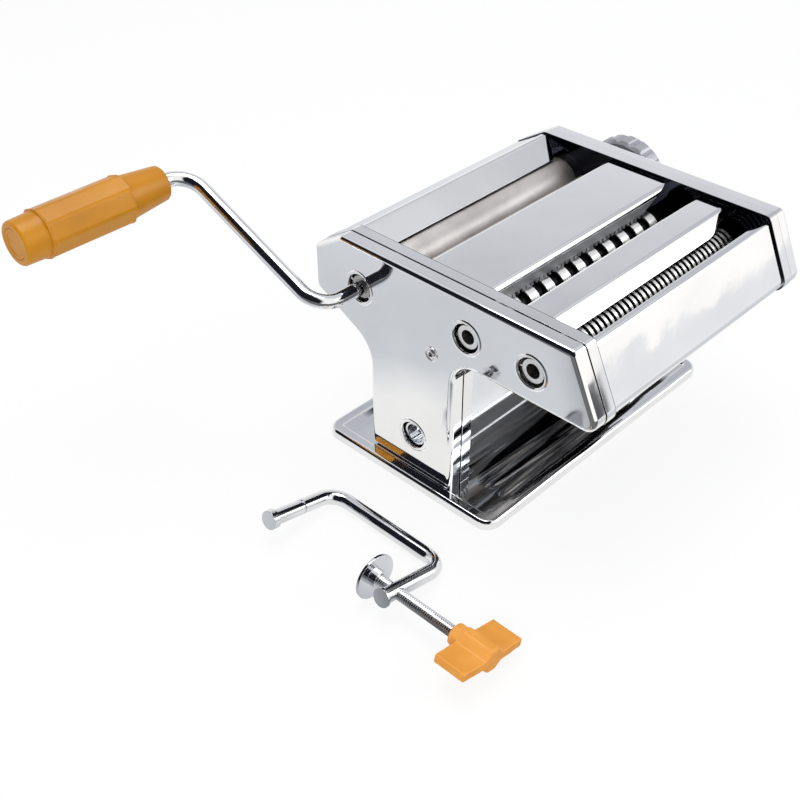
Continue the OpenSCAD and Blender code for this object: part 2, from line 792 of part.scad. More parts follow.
module rod_bend(p, q, n, r, bend_r) {
    turned = turn(p, q, n);
    side = sign(turned);
    a = unit(q - p);
    centre = q - bend_r * tan(abs(turned) / 2) * a + side * bend_r * left(a);
    start = atan2(-side * left(a)[1], -side * left(a)[0]);
    translate([centre[0], centre[1], 0]) rotate([0, 0, turned > 0 ? start : start + turned])
        rotate_extrude(angle = abs(turned)) translate([bend_r, 0]) circle(r = r);
}

function bend_start(p, q, n, bend_r) = q - unit(q - p) * bend_r * tan(abs(turn(p, q, n)) / 2);
function bend_end(p, q, n, bend_r) = q + unit(n - q) * bend_r * tan(abs(turn(p, q, n)) / 2);

// Round rod along points in a plane, with round bends
module bent_rod(points, r, bend_r) {
    last = len(points) - 1;
    for (i = [1:last]) {
        p = i == 1 ? points[0] : bend_end(points[i - 2], points[i - 1], points[i], bend_r);
        q = i == last ? points[last] : bend_start(points[i - 1], points[i], points[i + 1], bend_r);
        straight_rod(p, q, r);
        if (i < last) rod_bend(points[i - 1], points[i], points[i + 1], r, bend_r);
    }
}

grip_l = nose_l + middle_l + tail_l;
rivet_r = 6.4;
rivet_t = 2.2;
cap_t = 5;
cap_room = 0.3;
rivet_at = grip_start + grip_l - cap_t - cap_room - rivet_t;
module crank_rod() {
    shaft_end = crank_out + socket_inset + socket_l - cap_room;
    color("silver") at_crank() {
        bent_rod([[shaft_end, 0], [0, 0], [0, crank_arm], [-rivet_at, crank_arm]],
            crank_rod_r, crank_bend_r);
        intersection() {
            straight_rod([shaft_end - cut, 0], [shaft_end + slot_l - 2 * cap_room, 0], crank_rod_r);
            translate([shaft_end - cut, -crank_rod_r, -tongue_w / 2])
                cube([slot_l + cut, 2 * crank_rod_r, tongue_w]);
        }
        straight_rod([-rivet_at, crank_arm], [-rivet_at - rivet_t, crank_arm], rivet_r);
    }
}

// Grip coordinates: local Z runs from the bend outwards along -X
module at_grip() {
    at_crank() translate([0, crank_arm, 0]) rotate([0, -90, 0]) children();
}

nose_edge = 1.5;
facet_step = 1.2;
facet_trim = 0.15;
rivet_well = 0.3;
cap_seat_r = 8.2;
cap_seat_l = 3;
module crank_grip() {
    z0 = grip_start;
    z1 = z0 + nose_l;
    z2 = z1 + middle_l;
    z3 = z2 + tail_l;
    color("goldenrod") at_grip() difference() {
        intersection() {
            rotate_extrude() polygon([[0, z0], [nose_r - nose_edge, z0], [nose_r, z0 + nose_edge],
                [grip_r, z1], [facet_r, z1 + facet_step], [facet_r, z2 - facet_step], [grip_r, z2],
                [grip_r, z3 - nose_edge], [grip_r - nose_edge, z3], [0, z3]]);
            rotate([0, 0, 22.5]) translate([0, 0, z0 - cut])
                cylinder(r = facet_r + facet_trim, h = grip_l + 2 * cut, $fn = 8);
        }
        translate([0, 0, z0 - cut]) cylinder(r = crank_rod_r + run_clear, h = grip_l + 2 * cut);
        translate([0, 0, rivet_at - cap_room]) cylinder(r = rivet_r + rivet_well, h = grip_l);
        translate([0, 0, z3 - cap_seat_l]) cylinder(r = cap_seat_r, h = grip_l);
    }
}

cap_ring_r = 6.8;
cap_ring_depth = 0.8;
module grip_cap() {
    z3 = grip_start + grip_l;
    color("goldenrod") at_grip() difference() {
        union() {
            translate([0, 0, z3 - cap_seat_l]) cylinder(r = cap_seat_r - fix_clear, h = cap_seat_l);
            translate([0, 0, z3 - cap_t]) cylinder(r = rivet_r, h = cap_t - cap_seat_l + fix_clear);
        }
        translate([0, 0, z3 - cap_ring_depth]) cylinder(r = cap_ring_r, h = cap_t);
    }
}

// Eccentric axle: end journals on the knob axis, middle offset by the throw
cap_r = 7.6;
axle_cap_t = 2.5;
web_t = 4;
knob_x = outer_x + index_t + knob_gap;
axle_end_x = knob_x + knob_w - axle_cap_t;
journal_x = cover_x - boss_in + cover_t - end_gap;
module adjuster_axle() {
    color("silver") {
        rod_x(axle_r, -plate_x - bush_flange_t - end_gap, -inner_x + journal_play,
            adjust_y, roller_z);
        rod_x(axle_r, -inner_x + journal_play, journal_x, adjust_y + throw, roller_z);
        rod_x(axle_r, journal_x, axle_end_x, adjust_y, roller_z);
    }
}

module axle_cap() {
    color("silver") rod_x(cap_r, axle_end_x, axle_end_x + axle_cap_t, adjust_y, roller_z);
}

spring_well_r = 8;
flute_r = 3.2;
flute_count = 18;
flute_out = 2.2;
knob_edge = 2;
pin_short = 0.3;
module adjuster_knob() {
    color("gainsboro") translate([knob_x, adjust_y, roller_z]) rotate([90, 0, 90]) {
        difference() {
            rotate_extrude() polygon([
                [axle_r + run_clear, 0], [knob_r - knob_edge, 0], [knob_r, knob_edge],
                [knob_r, knob_w - knob_edge], [knob_r - knob_edge, knob_w],
                [spring_well_r + run_clear, knob_w], [spring_well_r + run_clear, web_t],
                [axle_r + run_clear, web_t]]);
            for (i = [0:flute_count - 1]) rotate([0, 0, i * 360 / flute_count])
                translate([knob_r + flute_out, 0, -cut]) cylinder(r = flute_r, h = knob_w + 2 * cut);
        }
        rotate([0, 0, 90]) translate([pin_place, 0, pin_short - knob_gap])
            cylinder(r = locate_r, h = knob_gap - pin_short + cut);
    }
}

spring_coil_r = 6.6;
spring_wire_r = 0.7;
module knob_spring() {
    length = knob_w - web_t - axle_cap_t;
    color("dimgray") translate([knob_x + web_t, adjust_y, roller_z]) rotate([90, 0, 90])
        difference() {
            cylinder(r = spring_coil_r + spring_wire_r, h = length);
            translate([0, 0, -cut]) cylinder(r = spring_coil_r - spring_wire_r, h = length + 2 * cut);
        }
}

float_l = 12;
float_seat = 0.3;
module float_bush_crank() {
    y = adjust_y + throw;
    color("ivory") difference() {
        union() {
            rod_x(shoulder_end_r, -inner_x + 2 * journal_play, -roller_l / 2 - float_seat, y, roller_z);
            rod_x(bush_r, -inner_x + 2 * journal_play, -roller_l / 2 + float_l, y, roller_z);
        }
        rod_x(axle_r + run_clear, -inner_x - cut, -roller_l / 2 + float_l + cut, y, roller_z);
    }
}

module float_bush_knob() {
    y = adjust_y + throw;
    end_x = gear_x + roller_gear_w;
    color("ivory") difference() {
        rod_x(bush_r, end_x - float_l, end_x, y, roller_z);
        rod_x(axle_r + run_clear, end_x - float_l - cut, end_x + cut, y, roller_z);
    }
}

module adjust_roller() {
    y = adjust_y + throw;
    half = roller_l / 2;
    color("gainsboro") difference() {
        union() {
            rod_x(roller_r, -half, half, y, roller_z);
            rod_x(shoulder_end_r, half, inner_x - journal_play, y, roller_z);
            rod_x(neck_r, half, gear_x + roller_gear_w, y, roller_z);
        }
        rod_x(bush_r + run_clear, -half - cut, gear_x + roller_gear_w + cut, y, roller_z);
    }
}

// Roller with rings and grooves. Each ring is a little narrower than the groove it enters.
module ring_roller(y, pitch, shifted) {
    half = cutter_l / 2;
    ring_w = pitch / 2 - flank_clear;
    places = ring_places(pitch, shifted);
    profile = concat([[0, -half], [core_r, -half]],
        [for (x = places) each [[core_r, x - ring_w / 2], [ring_r, x - ring_w / 2],
            [ring_r, x + ring_w / 2], [core_r, x + ring_w / 2]]],
        [[core_r, half], [0, half]]);
    translate([0, y, cutter_z]) rotate([0, 90, 0]) rotate_extrude() polygon(profile);
}

// Roller of a cutter. A socketed one takes the crank at its -X end.
module cutter_roller(y, pitch, shifted, socketed) {
    end_r = socketed ? socket_r : pin_r;
    color("gainsboro") difference() {
        union() {
            ring_roller(y, pitch, shifted);
            rod_x(end_r, socketed ? -socket_x : -plate_x - bearing_t, 0, y, cutter_z);
            rod_x(pin_r, 0, gear_x + cutter_gear_w, y, cutter_z);
        }
        if (socketed) crank_socket(y, cutter_z, 0);
    }
}

module cutter_gear(y, turned) {
    color("silver") translate([gear_x, y, cutter_z]) rotate([90, 0, 90]) rotate([0, 0, turned])
        gear(cutter_teeth, cutter_d / 2, cutter_tooth_share, cutter_gear_w, pin_r + fix_clear);
}
cutter_half_mesh = 360 / cutter_teeth / 2;

// Clamp coordinates: X and Y in the plane of the bent rod, origin at its lower corner.
// The rod's long side and the rim of the foot lie on the table, so the plane is tipped.
clamp_tip = asin((foot_r - clamp_rod_r) / screw_reach);
module at_clamp() {
    translate([-clamp_x, -clamp_y, clamp_rod_r]) rotate([0, clamp_tip, 0]) children();
}

hook_head_r = 5.3;
hook_head_l = 4;
groove_from_end = 22;
groove_w = 1.4;
groove_depth = 0.5;
arm_end_r = 5.2;
arm_end_l = 1.6;
module clamp_frame() {
    color("silver") at_clamp() difference() {
        union() {
            bent_rod([[-hook_l, clamp_span], [0, clamp_span], [0, 0], [-lower_l, 0]],
                clamp_rod_r, clamp_bend_r);
            straight_rod([-hook_l, clamp_span], [-hook_l + hook_head_l, clamp_span], hook_head_r);
            straight_rod([-lower_l - arm_end_l, 0], [-lower_l, 0], arm_end_r);
        }
        translate([-screw_reach, -clamp_rod_r - cut, 0]) rotate([-90, 0, 0])
            cylinder(r = screw_r + run_clear, h = 2 * (clamp_rod_r + cut));
        translate([-hook_l + groove_from_end, clamp_span, 0]) rotate([0, 90, 0]) difference() {
            cylinder(r = clamp_rod_r + cut, h = groove_w);
            translate([0, 0, -cut]) cylinder(r = clamp_rod_r - groove_depth, h = groove_w + 2 * cut);
        }
    }
}

// Screw coordinates: local Z runs along +Y from the lower arm to the foot
module at_screw() {
    at_clamp() translate([-screw_reach, 0, 0]) rotate([-90, 0, 0]) children();
}

// Dished disc with a hub in which the tip of the screw turns
foot_t = 1.6;
foot_hub_r = 4.8;
foot_hub_l = 6;
foot_dish = 1.2;
tip_depth = 4;
tip_play = 0.3;
module clamp_foot() {
    seat = foot_out - foot_hub_l;
    color("gainsboro") at_screw() rotate_extrude() polygon([
        [screw_r + run_clear, seat], [foot_hub_r, seat], [foot_hub_r, foot_out - foot_t],
        [foot_r, foot_out - foot_t - foot_dish], [foot_r, foot_out - foot_dish],
        [foot_hub_r, foot_out], [0, foot_out],
        [0, seat + tip_depth], [screw_r + run_clear, seat + tip_depth]]);
}

module clamp_screw() {
    tip = foot_out - foot_hub_l + tip_depth - tip_play;
    color("silver") at_screw() translate([0, 0, -wing_out - wing_seat])
        cylinder(r = screw_r, h = tip + wing_out + wing_seat);
}
wing_seat = 14;

hub_r = 7.2;
module wing_knob() {
    color("goldenrod") at_screw() difference() {
        union() {
            translate([0, 0, -wing_out - wing_hub_l]) cylinder(r = hub_r, h = wing_hub_l, $fn = 8);
            translate([-wing_w / 2, -wing_t / 2, -wing_out - wing_hub_l]) cube([wing_w, wing_t, wing_d]);
        }
        translate([0, 0, -wing_out - wing_seat]) cylinder(r = screw_r + fix_clear, h = wing_out);
    }
}

base_plate();
rubber_pad(-1, -1);  // rubber_pad_1
rubber_pad(1, -1);  // rubber_pad_2
rubber_pad(-1, 1);  // rubber_pad_3
rubber_pad(1, 1);  // rubber_pad_4
crank_side_frame();
crank_side_cover();
knob_side_frame();
knob_side_cover();
rear_plate();
centre_cover();
middle_cover();
front_cover();
chute_plate();
tie_rod(tie_low_y, floor_z + tie_low_up);  // tie_rod_low
tie_rod(tie_back_y, body_h - tie_back_drop);  // tie_rod_back
tie_rod(-tie_front_y, body_h - tie_front_drop);  // tie_rod_front
clamp_socket();
mirror([1, 0, 0]) cover_screw();  // cover_screw_crank
cover_screw();  // cover_screw_knob
drive_scraper();
adjust_scraper();
comb(wide_back, 1, wide_pitch, false);  // wide_comb_back
comb(wide_front, -1, wide_pitch, true);  // wide_comb_front
comb(narrow_back, 1, narrow_pitch, false);  // narrow_comb_back
comb(narrow_front, -1, narrow_pitch, true);  // narrow_comb_front
drive_bush_crank();
drive_bush_knob();
axle_bush();
mirror([1, 0, 0]) bearing_plate(wide_back, socket_r + run_clear);  // wide_bearing_crank
bearing_plate(wide_back, pin_r + run_clear);  // wide_bearing_knob
mirror([1, 0, 0]) bearing_plate(narrow_back, socket_r + run_clear);  // narrow_bearing_crank
bearing_plate(narrow_back, pin_r + run_clear);  // narrow_bearing_knob
index_plate();
drive_roller();
drive_gear();
crank_rod();
crank_grip();
grip_cap();
adjuster_axle();
axle_cap();
adjuster_knob();
knob_spring();
float_bush_crank();
float_bush_knob();
adjust_roller();
adjust_gear();
cutter_roller(wide_back, wide_pitch, false, true);  // wide_roller_back
cutter_gear(wide_back, 0);  // wide_gear_back
cutter_roller(wide_front, wide_pitch, true, false);  // wide_roller_front
cutter_gear(wide_front, cutter_half_mesh);  // wide_gear_front
cutter_roller(narrow_back, narrow_pitch, false, true);  // narrow_roller_back
cutter_gear(narrow_back, 0);  // narrow_gear_back
cutter_roller(narrow_front, narrow_pitch, true, false);  // narrow_roller_front
cutter_gear(narrow_front, cutter_half_mesh);  // narrow_gear_front
clamp_frame();
clamp_foot();
clamp_screw();
wing_knob();
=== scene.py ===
import bpy
import bmesh
import json
import math
from mathutils import Matrix, Vector
from mathutils.geometry import tessellate_polygon

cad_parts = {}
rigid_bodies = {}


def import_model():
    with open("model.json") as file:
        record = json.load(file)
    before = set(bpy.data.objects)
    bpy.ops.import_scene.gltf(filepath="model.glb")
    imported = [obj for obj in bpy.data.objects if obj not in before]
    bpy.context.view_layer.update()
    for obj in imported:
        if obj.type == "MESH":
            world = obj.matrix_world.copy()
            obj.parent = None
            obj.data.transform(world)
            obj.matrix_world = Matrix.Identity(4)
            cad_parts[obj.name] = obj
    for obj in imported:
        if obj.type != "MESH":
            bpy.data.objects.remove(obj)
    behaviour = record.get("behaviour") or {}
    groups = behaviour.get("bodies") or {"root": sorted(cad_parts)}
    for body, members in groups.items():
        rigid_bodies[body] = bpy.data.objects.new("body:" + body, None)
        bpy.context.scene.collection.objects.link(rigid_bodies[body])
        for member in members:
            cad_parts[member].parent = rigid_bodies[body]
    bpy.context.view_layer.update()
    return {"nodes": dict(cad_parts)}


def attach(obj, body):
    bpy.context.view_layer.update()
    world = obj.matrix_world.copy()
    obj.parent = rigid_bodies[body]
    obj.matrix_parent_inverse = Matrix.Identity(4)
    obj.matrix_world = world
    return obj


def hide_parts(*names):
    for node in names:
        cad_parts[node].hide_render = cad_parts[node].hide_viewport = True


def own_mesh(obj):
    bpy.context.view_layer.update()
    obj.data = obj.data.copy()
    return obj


for leftOver in list(bpy.data.objects):
    bpy.data.objects.remove(leftOver)
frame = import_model()
mm = 0.001          # the CAD's millimetres in Blender's metres
print("frame loaded:", len(frame["nodes"]), "nodes")

# Camera and studio

studioCamera = {
    "target": (13.46, 112.56, -66.29),  # mm, the point that the camera looks at
    "distance": 833.59,                 # mm from the target
    "azimuth": -45.998, "elevation": 37.747, "roll": -0.30,  # degrees
    "lens": 53.71, "sensor": 36.0,
    "clip": (0.01, 50),                 # metres, the nearest and the farthest thing it sees
}


def addObject(name, data):
    thing = bpy.data.objects.new(name, data)
    bpy.context.scene.collection.objects.link(thing)
    return thing


def cameraAxes(setup):
    azimuth, elevation = math.radians(setup["azimuth"]), math.radians(setup["elevation"])
    back = Vector((math.sin(azimuth) * math.cos(elevation),
                   -math.cos(azimuth) * math.cos(elevation), math.sin(elevation)))
    right = Vector((math.cos(azimuth), math.sin(azimuth), 0))
    return right, back.cross(right), back


def makeCamera(setup):
    right, up, back = cameraAxes(setup)
    roll = math.radians(setup["roll"])
    side = right * math.cos(roll) + up * math.sin(roll)
    top = up * math.cos(roll) - right * math.sin(roll)
    place = (Vector(setup["target"]) + back * setup["distance"]) * mm
    data = bpy.data.cameras.new("studioCamera")
    data.lens, data.sensor_width = setup["lens"], setup["sensor"]
    data.clip_start, data.clip_end = setup["clip"]
    camera = addObject("studioCamera", data)
    camera.matrix_world = Matrix((
        (side.x, top.x, back.x, place.x), (side.y, top.y, back.y, place.y),
        (side.z, top.z, back.z, place.z), (0, 0, 0, 1)))
    bpy.context.scene.camera = camera


lampAim = (0, 0, 0.06)                  # metres, the point that the soft boxes face
softBoxes = {
    "topSoftBox": {"place": (0.05, 0.15, 1.35), "size": 0.9, "power": 8.0,
                   "tint": (1, 0.99, 0.97), "mirrored": True},
    "fillSoftBox": {"place": (0.75, -0.95, 0.75), "size": 0.8, "power": 4.5,
                    "tint": (0.95, 0.97, 1), "mirrored": True},
    "frontSoftBox": {"place": (-1.15, -0.45, 0.55), "size": 0.6, "power": 4.0,
                     "tint": (1, 1, 1), "mirrored": False},
}


def makeSoftBox(name, setup):
    data = bpy.data.lights.new(name, "AREA")
    data.shape, data.size = "SQUARE", setup["size"]
    data.energy, data.color = setup["power"], setup["tint"]
    lamp = addObject(name, data)
    lamp.location = setup["place"]
    aim = Vector(lampAim) - Vector(setup["place"])
    lamp.rotation_euler = aim.to_track_quat("-Z", "Y").to_euler()
    lamp.visible_glossy = setup["mirrored"]


def addNode(tree, kind, **values):
    node = tree.nodes.new(kind)
    for name, value in values.items():
        setattr(node, name, value)
    return node


def mixColours(tree, factor, first, second):
    # sockets 6, 7 and output 2 are the ones that the node shows for colours
    node = addNode(tree, "ShaderNodeMix", data_type="RGBA")
    for socket, value in ((0, factor), (6, first), (7, second)):
        if isinstance(value, (tuple, list)):
            node.inputs[socket].default_value = (*value, 1)
        else:
            tree.links.new(value, node.inputs[socket])
    return node.outputs[2]


def mapRange(tree, source, fromLow, fromHigh, toLow, toHigh, smooth=False):
    node = addNode(tree, "ShaderNodeMapRange")
    if smooth:
        node.interpolation_type = "SMOOTHSTEP"
    tree.links.new(source, node.inputs["Value"])
    for socket, value in zip(("From Min", "From Max", "To Min", "To Max"),
                             (fromLow, fromHigh, toLow, toHigh)):
        node.inputs[socket].default_value = value
    return node.outputs["Result"]


def combined(tree, operation, first, second=None, clamp=False):
    # sum, product or the like of two sockets, or of a socket and a number
    node = addNode(tree, "ShaderNodeMath", operation=operation, use_clamp=clamp)
    for socket, value in zip(node.inputs, (first, second)):
        if isinstance(value, (int, float)):
            socket.default_value = value
        elif value is not None:
            tree.links.new(value, socket)
    return node.outputs[0]


def splitPlace(tree, place):
    node = addNode(tree, "ShaderNodeSeparateXYZ")
    tree.links.new(place, node.inputs[0])
    return node.outputs


def alongWay(tree, place, way):
    node = addNode(tree, "ShaderNodeVectorMath", operation="DOT_PRODUCT")
    tree.links.new(place, node.inputs[0])
    node.inputs[1].default_value = way
    return node.outputs["Value"]


def colourRamp(tree, source, stops):
    node = addNode(tree, "ShaderNodeValToRGB")
    tree.links.new(source, node.inputs["Fac"])
    elements = node.color_ramp.elements
    while len(elements) < len(stops):
        elements.new(0.5)               # anywhere, as the next loop sets its place
    for element, (place, colour) in zip(elements, stops):
        element.position = place
        element.color = (*colour, 1)
    return node.outputs["Color"]


studioWorld = {
    "plain": (0.56, 0.57, 0.585),       # what lights matt surfaces
    "white": (1, 1, 1),
    # what polished metal sees, by the sine of the height over the horizon
    "sky": [(0.0, (1.0, 0.985, 0.95)), (0.18, (1.0, 0.98, 0.95)), (0.42, (0.74, 0.75, 0.78)),
            (0.60, (0.50, 0.51, 0.545)), (0.70, (0.66, 0.675, 0.70)),
            (1.0, (0.80, 0.81, 0.84))],
    "front": (1.10, 1.08, 1.05),        # the bright front side of the room
    "frontWay": (0, -1, 0),
    "frontEdge": (0.20, 0.64),          # cosines where the bright side begins and is full
    "dark": (0.010, 0.011, 0.016),      # the unlit side of the room, beyond the crank
    "darkWay": (-0.85, -0.05, 0.52),
    "darkEdge": (0.47, 0.60),
}


def makeWorld(setup):
    world = bpy.data.worlds.new("studioWorld")
    bpy.context.scene.world = world
    world.use_nodes = True
    tree = world.node_tree
    tree.nodes.clear()
    direction = addNode(tree, "ShaderNodeTexCoord").outputs["Generated"]
    sky = colourRamp(tree, splitPlace(tree, direction)["Z"], setup["sky"])
    frontShare = mapRange(tree, alongWay(tree, direction, setup["frontWay"]),
                          *setup["frontEdge"], 0, 1, smooth=True)
    bright = mixColours(tree, frontShare, sky, setup["front"])
    darkShare = mapRange(tree, alongWay(tree, direction, setup["darkWay"]), *setup["darkEdge"],
                         0, 1, smooth=True)
    mirrored = mixColours(tree, darkShare, bright, setup["dark"])
    path = addNode(tree, "ShaderNodeLightPath")
    isMirror = combined(tree, "ADD", path.outputs["Is Glossy Ray"],
                        path.outputs["Is Transmission Ray"], clamp=True)
    shown = mixColours(tree, isMirror, setup["plain"], mirrored)
    final = mixColours(tree, path.outputs["Is Camera Ray"], shown, setup["white"])
    background = addNode(tree, "ShaderNodeBackground")
    output = addNode(tree, "ShaderNodeOutputWorld")
    tree.links.new(final, background.inputs["Color"])
    tree.links.new(background.outputs[0], output.inputs["Surface"])


studioFloor = {
    "size": 6.0, "height": -0.0003, "colour": (0.94, 0.94, 0.94), "white": (1, 1, 1),
    "glow": 0.87,                       # share of the floor that shows as plain white
    # what polished metal sees of the floor, by the distance from the middle in metres
    "seen": [(0.06, (0.98, 0.97, 0.94)), (0.15, (0.93, 0.92, 0.90)),
             (0.19, (0.60, 0.63, 0.66)), (0.26, (0.58, 0.60, 0.63)),
             (0.45, (0.74, 0.76, 0.79)), (0.8, (0.90, 0.90, 0.91))],
    "dark": (0.015, 0.016, 0.02),       # the dark card on the floor, in mirror images only
    "darkWay": (-0.72, -0.69, 0), "darkEdge": (0.155, 0.20),
}


def makeFloor(setup):
    half, height = setup["size"] / 2, setup["height"]
    mesh = bpy.data.meshes.new("studioFloor")
    mesh.from_pydata([(-half, -half, height), (half, -half, height), (half, half, height),
                      (-half, half, height)], [], [(0, 1, 2, 3)])
    floor = addObject("studioFloor", mesh)
    material = bpy.data.materials.new("studioFloor")
    material.use_nodes = True
    tree = material.node_tree
    tree.nodes.clear()
    matt = addNode(tree, "ShaderNodeBsdfDiffuse")
    matt.inputs["Color"].default_value = (*setup["colour"], 1)
    path = addNode(tree, "ShaderNodeLightPath")
    place = addNode(tree, "ShaderNodeTexCoord").outputs["Object"]
    reach = addNode(tree, "ShaderNodeVectorMath", operation="LENGTH")
    tree.links.new(place, reach.inputs[0])
    card = mapRange(tree, alongWay(tree, place, setup["darkWay"]), *setup["darkEdge"], 0, 1,
                    smooth=True)
    seen = mixColours(tree, card, colourRamp(tree, reach.outputs["Value"], setup["seen"]),
                      setup["dark"])
    isMirror = combined(tree, "ADD", path.outputs["Is Glossy Ray"],
                        path.outputs["Is Transmission Ray"], clamp=True)
    glow = addNode(tree, "ShaderNodeEmission")
    tree.links.new(mixColours(tree, isMirror, setup["white"], seen), glow.inputs["Color"])
    isSeen = combined(tree, "ADD", path.outputs["Is Camera Ray"], isMirror, clamp=True)
    share = mapRange(tree, isSeen, 0, 1, 0, setup["glow"])
    mix = addNode(tree, "ShaderNodeMixShader")
    tree.links.new(share, mix.inputs[0])
    tree.links.new(matt.outputs[0], mix.inputs[1])
    tree.links.new(glow.outputs[0], mix.inputs[2])
    output = addNode(tree, "ShaderNodeOutputMaterial")
    tree.links.new(mix.outputs[0], output.inputs["Surface"])
    mesh.materials.append(material)


makeCamera(studioCamera)
for lampName, lampSetup in softBoxes.items():
    makeSoftBox(lampName, lampSetup)
makeWorld(studioWorld)
makeFloor(studioFloor)
bpy.context.scene.view_settings.view_transform = "Standard"
print("studio ready")

# Finishes. "patches" is the size of the cloudy variation, "relief" a list of bumps, each
# with its scale, its stretch along X, Y and Z, and its height in millimetres.

finishLooks = {
    "polishedSheet": {
        "colour": (0.925, 0.93, 0.945), "shade": (0.88, 0.885, 0.90), "metal": 1,
        "rough": (0.03, 0.075), "patches": 24,
        "relief": [(16, (1, 1, 1), 0.55), (70, (1, 1, 1), 0.03), (700, (0.12, 1, 1), 0.0012)]},
    # darker and rougher copy of the polished cover sheet for the folded flap and its teeth; the
    # darker colour is painted shade
    "shadedFlapSheet": {
        "colour": (0.60, 0.61, 0.63), "shade": (0.48, 0.49, 0.51), "metal": 1,
        "rough": (0.30, 0.42), "patches": 60,
        "relief": [(900, (0.08, 1, 1), 0.004)]},
    "chuteSheet": {
        "colour": (0.88, 0.89, 0.91), "shade": (0.80, 0.81, 0.84), "metal": 1,
        "rough": (0.30, 0.40), "patches": 40,
        "relief": [(900, (0.08, 1, 1), 0.003)]},
    "frameSheet": {
        "colour": (0.90, 0.905, 0.92), "shade": (0.84, 0.845, 0.86), "metal": 1,
        "rough": (0.04, 0.09), "patches": 24,
        # painted shade on the inner walls, up to this X and above these heights in metres
        "inside": {"reach": (0.0772, 0.0776), "height": (0.090, 0.104),
                   "colour": (0.06, 0.065, 0.085)},
        "relief": [(16, (1, 1, 1), 0.5), (700, (0.12, 1, 1), 0.0012)]},
    "baseSheet": {
        "colour": (0.88, 0.89, 0.91), "shade": (0.80, 0.81, 0.83), "metal": 1,
        "rough": (0.02, 0.05), "patches": 30,
        # drawn ripples between the side walls, up to this X in metres, with painted dark
        # reflections of the body's underside in their bands
        "rippleAndReflection": {"reach": (0.070, 0.079), "scale": 120, "stretch": (0.045, 1, 1),
                   "height": 1.0, "dark": (0.53, 0.57), "colour": (0.012, 0.012, 0.016)},
        "relief": [(30, (0.06, 1, 1), 0.5), (110, (0.05, 1, 1), 0.05)]},
    "brightRod": {
        "colour": (0.83, 0.84, 0.86), "shade": (0.74, 0.75, 0.78), "metal": 1,
        "rough": (0.05, 0.13), "patches": 60,
        "relief": [(180, (1, 1, 1), 0.02), (1500, (1, 1, 1), 0.002)]},
    "rivetSteel": {
        "colour": (0.97, 0.97, 0.975), "shade": (0.91, 0.91, 0.92), "metal": 1,
        "rough": (0.24, 0.34), "patches": 300,
        "relief": [(1500, (1, 1, 1), 0.003)]},
    "rollerSteel": {
        "colour": (0.64, 0.61, 0.59), "shade": (0.46, 0.44, 0.43), "metal": 1,
        "rough": (0.40, 0.50), "patches": 45,
        "relief": [(2600, (1, 0.02, 0.02), 0.006), (120, (1, 1, 1), 0.02)]},
    "cutterSteel": {
        "colour": (0.97, 0.96, 0.94), "shade": (0.90, 0.89, 0.87), "metal": 1,
        "rough": (0.24, 0.36), "patches": 150,
        # shares of the roller's box: the distance from the middle line where the painted shade in
        # the grooves turns into the rings, the middle along X, and how far from it the unshaded
        # shaft ends begin
        "grooves": {"edge": (0.425, 0.472), "middle": 0.508, "ends": (0.410, 0.414),
                    "colour": (0.012, 0.012, 0.014)},
        "relief": [(2600, (1, 0.05, 0.05), 0.006)]},
    "scraperSteel": {
        "colour": (0.34, 0.35, 0.37), "shade": (0.24, 0.25, 0.27), "metal": 1,
        "rough": (0.26, 0.42), "patches": 90,
        "relief": [(1400, (0.04, 1, 1), 0.006)]},
    "gearSteel": {
        "colour": (0.42, 0.42, 0.42), "shade": (0.28, 0.27, 0.25), "metal": 1,
        "rough": (0.32, 0.52), "patches": 220,
        "relief": [(2200, (1, 1, 1), 0.012)]},
    "knobAlloy": {
        "colour": (0.50, 0.52, 0.55), "shade": (0.42, 0.43, 0.46), "metal": 1,
        "rough": (0.38, 0.50), "patches": 120,
        "relief": [(1900, (0.1, 1, 1), 0.006), (300, (1, 1, 1), 0.01)]},
    "nylon": {
        "colour": (0.80, 0.78, 0.71), "shade": (0.70, 0.68, 0.60), "metal": 0,
        "rough": (0.38, 0.55), "patches": 140, "milky": 0.12,
        "relief": [(900, (1, 1, 1), 0.012)]},
    "rubber": {
        "colour": (0.022, 0.022, 0.023), "shade": (0.04, 0.04, 0.04), "metal": 0,
        "rough": (0.66, 0.85), "patches": 300,
        "relief": [(1800, (1, 1, 1), 0.03)]},
    "ochrePlastic": {
        "colour": (0.57, 0.232, 0.005), "shade": (0.49, 0.19, 0.002), "metal": 0,
        "rough": (0.26, 0.40), "patches": 38, "milky": 0.04, "shine": 0.36,
        "relief": [(320, (0.3, 1, 1), 0.018), (2400, (1, 1, 1), 0.004)]},
    "orangePlastic": {
        "colour": (0.86, 0.38, 0.075), "shade": (0.76, 0.31, 0.045), "metal": 0,
        "rough": (0.30, 0.44), "patches": 60, "milky": 0.06, "shine": 0.4,
        "relief": [(380, (1, 1, 1), 0.02), (2400, (1, 1, 1), 0.004)]},
    "springWire": {
        "colour": (0.30, 0.30, 0.32), "shade": (0.20, 0.20, 0.21), "metal": 1,
        "rough": (0.28, 0.4), "patches": 300,
        "relief": [(2000, (1, 1, 1), 0.004)]},
    "dialPaint": {
        "colour": (0.02, 0.02, 0.022), "shade": (0.05, 0.05, 0.05), "metal": 0,
        "rough": (0.4, 0.6), "patches": 500,
        "relief": [(1500, (1, 1, 1), 0.004)]},
}
finishDetail = {
    "patchEdge": (0.32, 0.68),          # noise values where one colour turns into the other
    "wipeScale": 2.7, "wipeStretch": (0.4, 1, 1), "wipeEdge": (0.3, 0.7),
    "milkyRadius": (0.004, 0.002, 0.001), "milkyScale": 0.5,
    "evenStretch": (1, 1, 1), "patchDetail": 6, "wipeDetail": 4, "bumpDetail": 2,
}


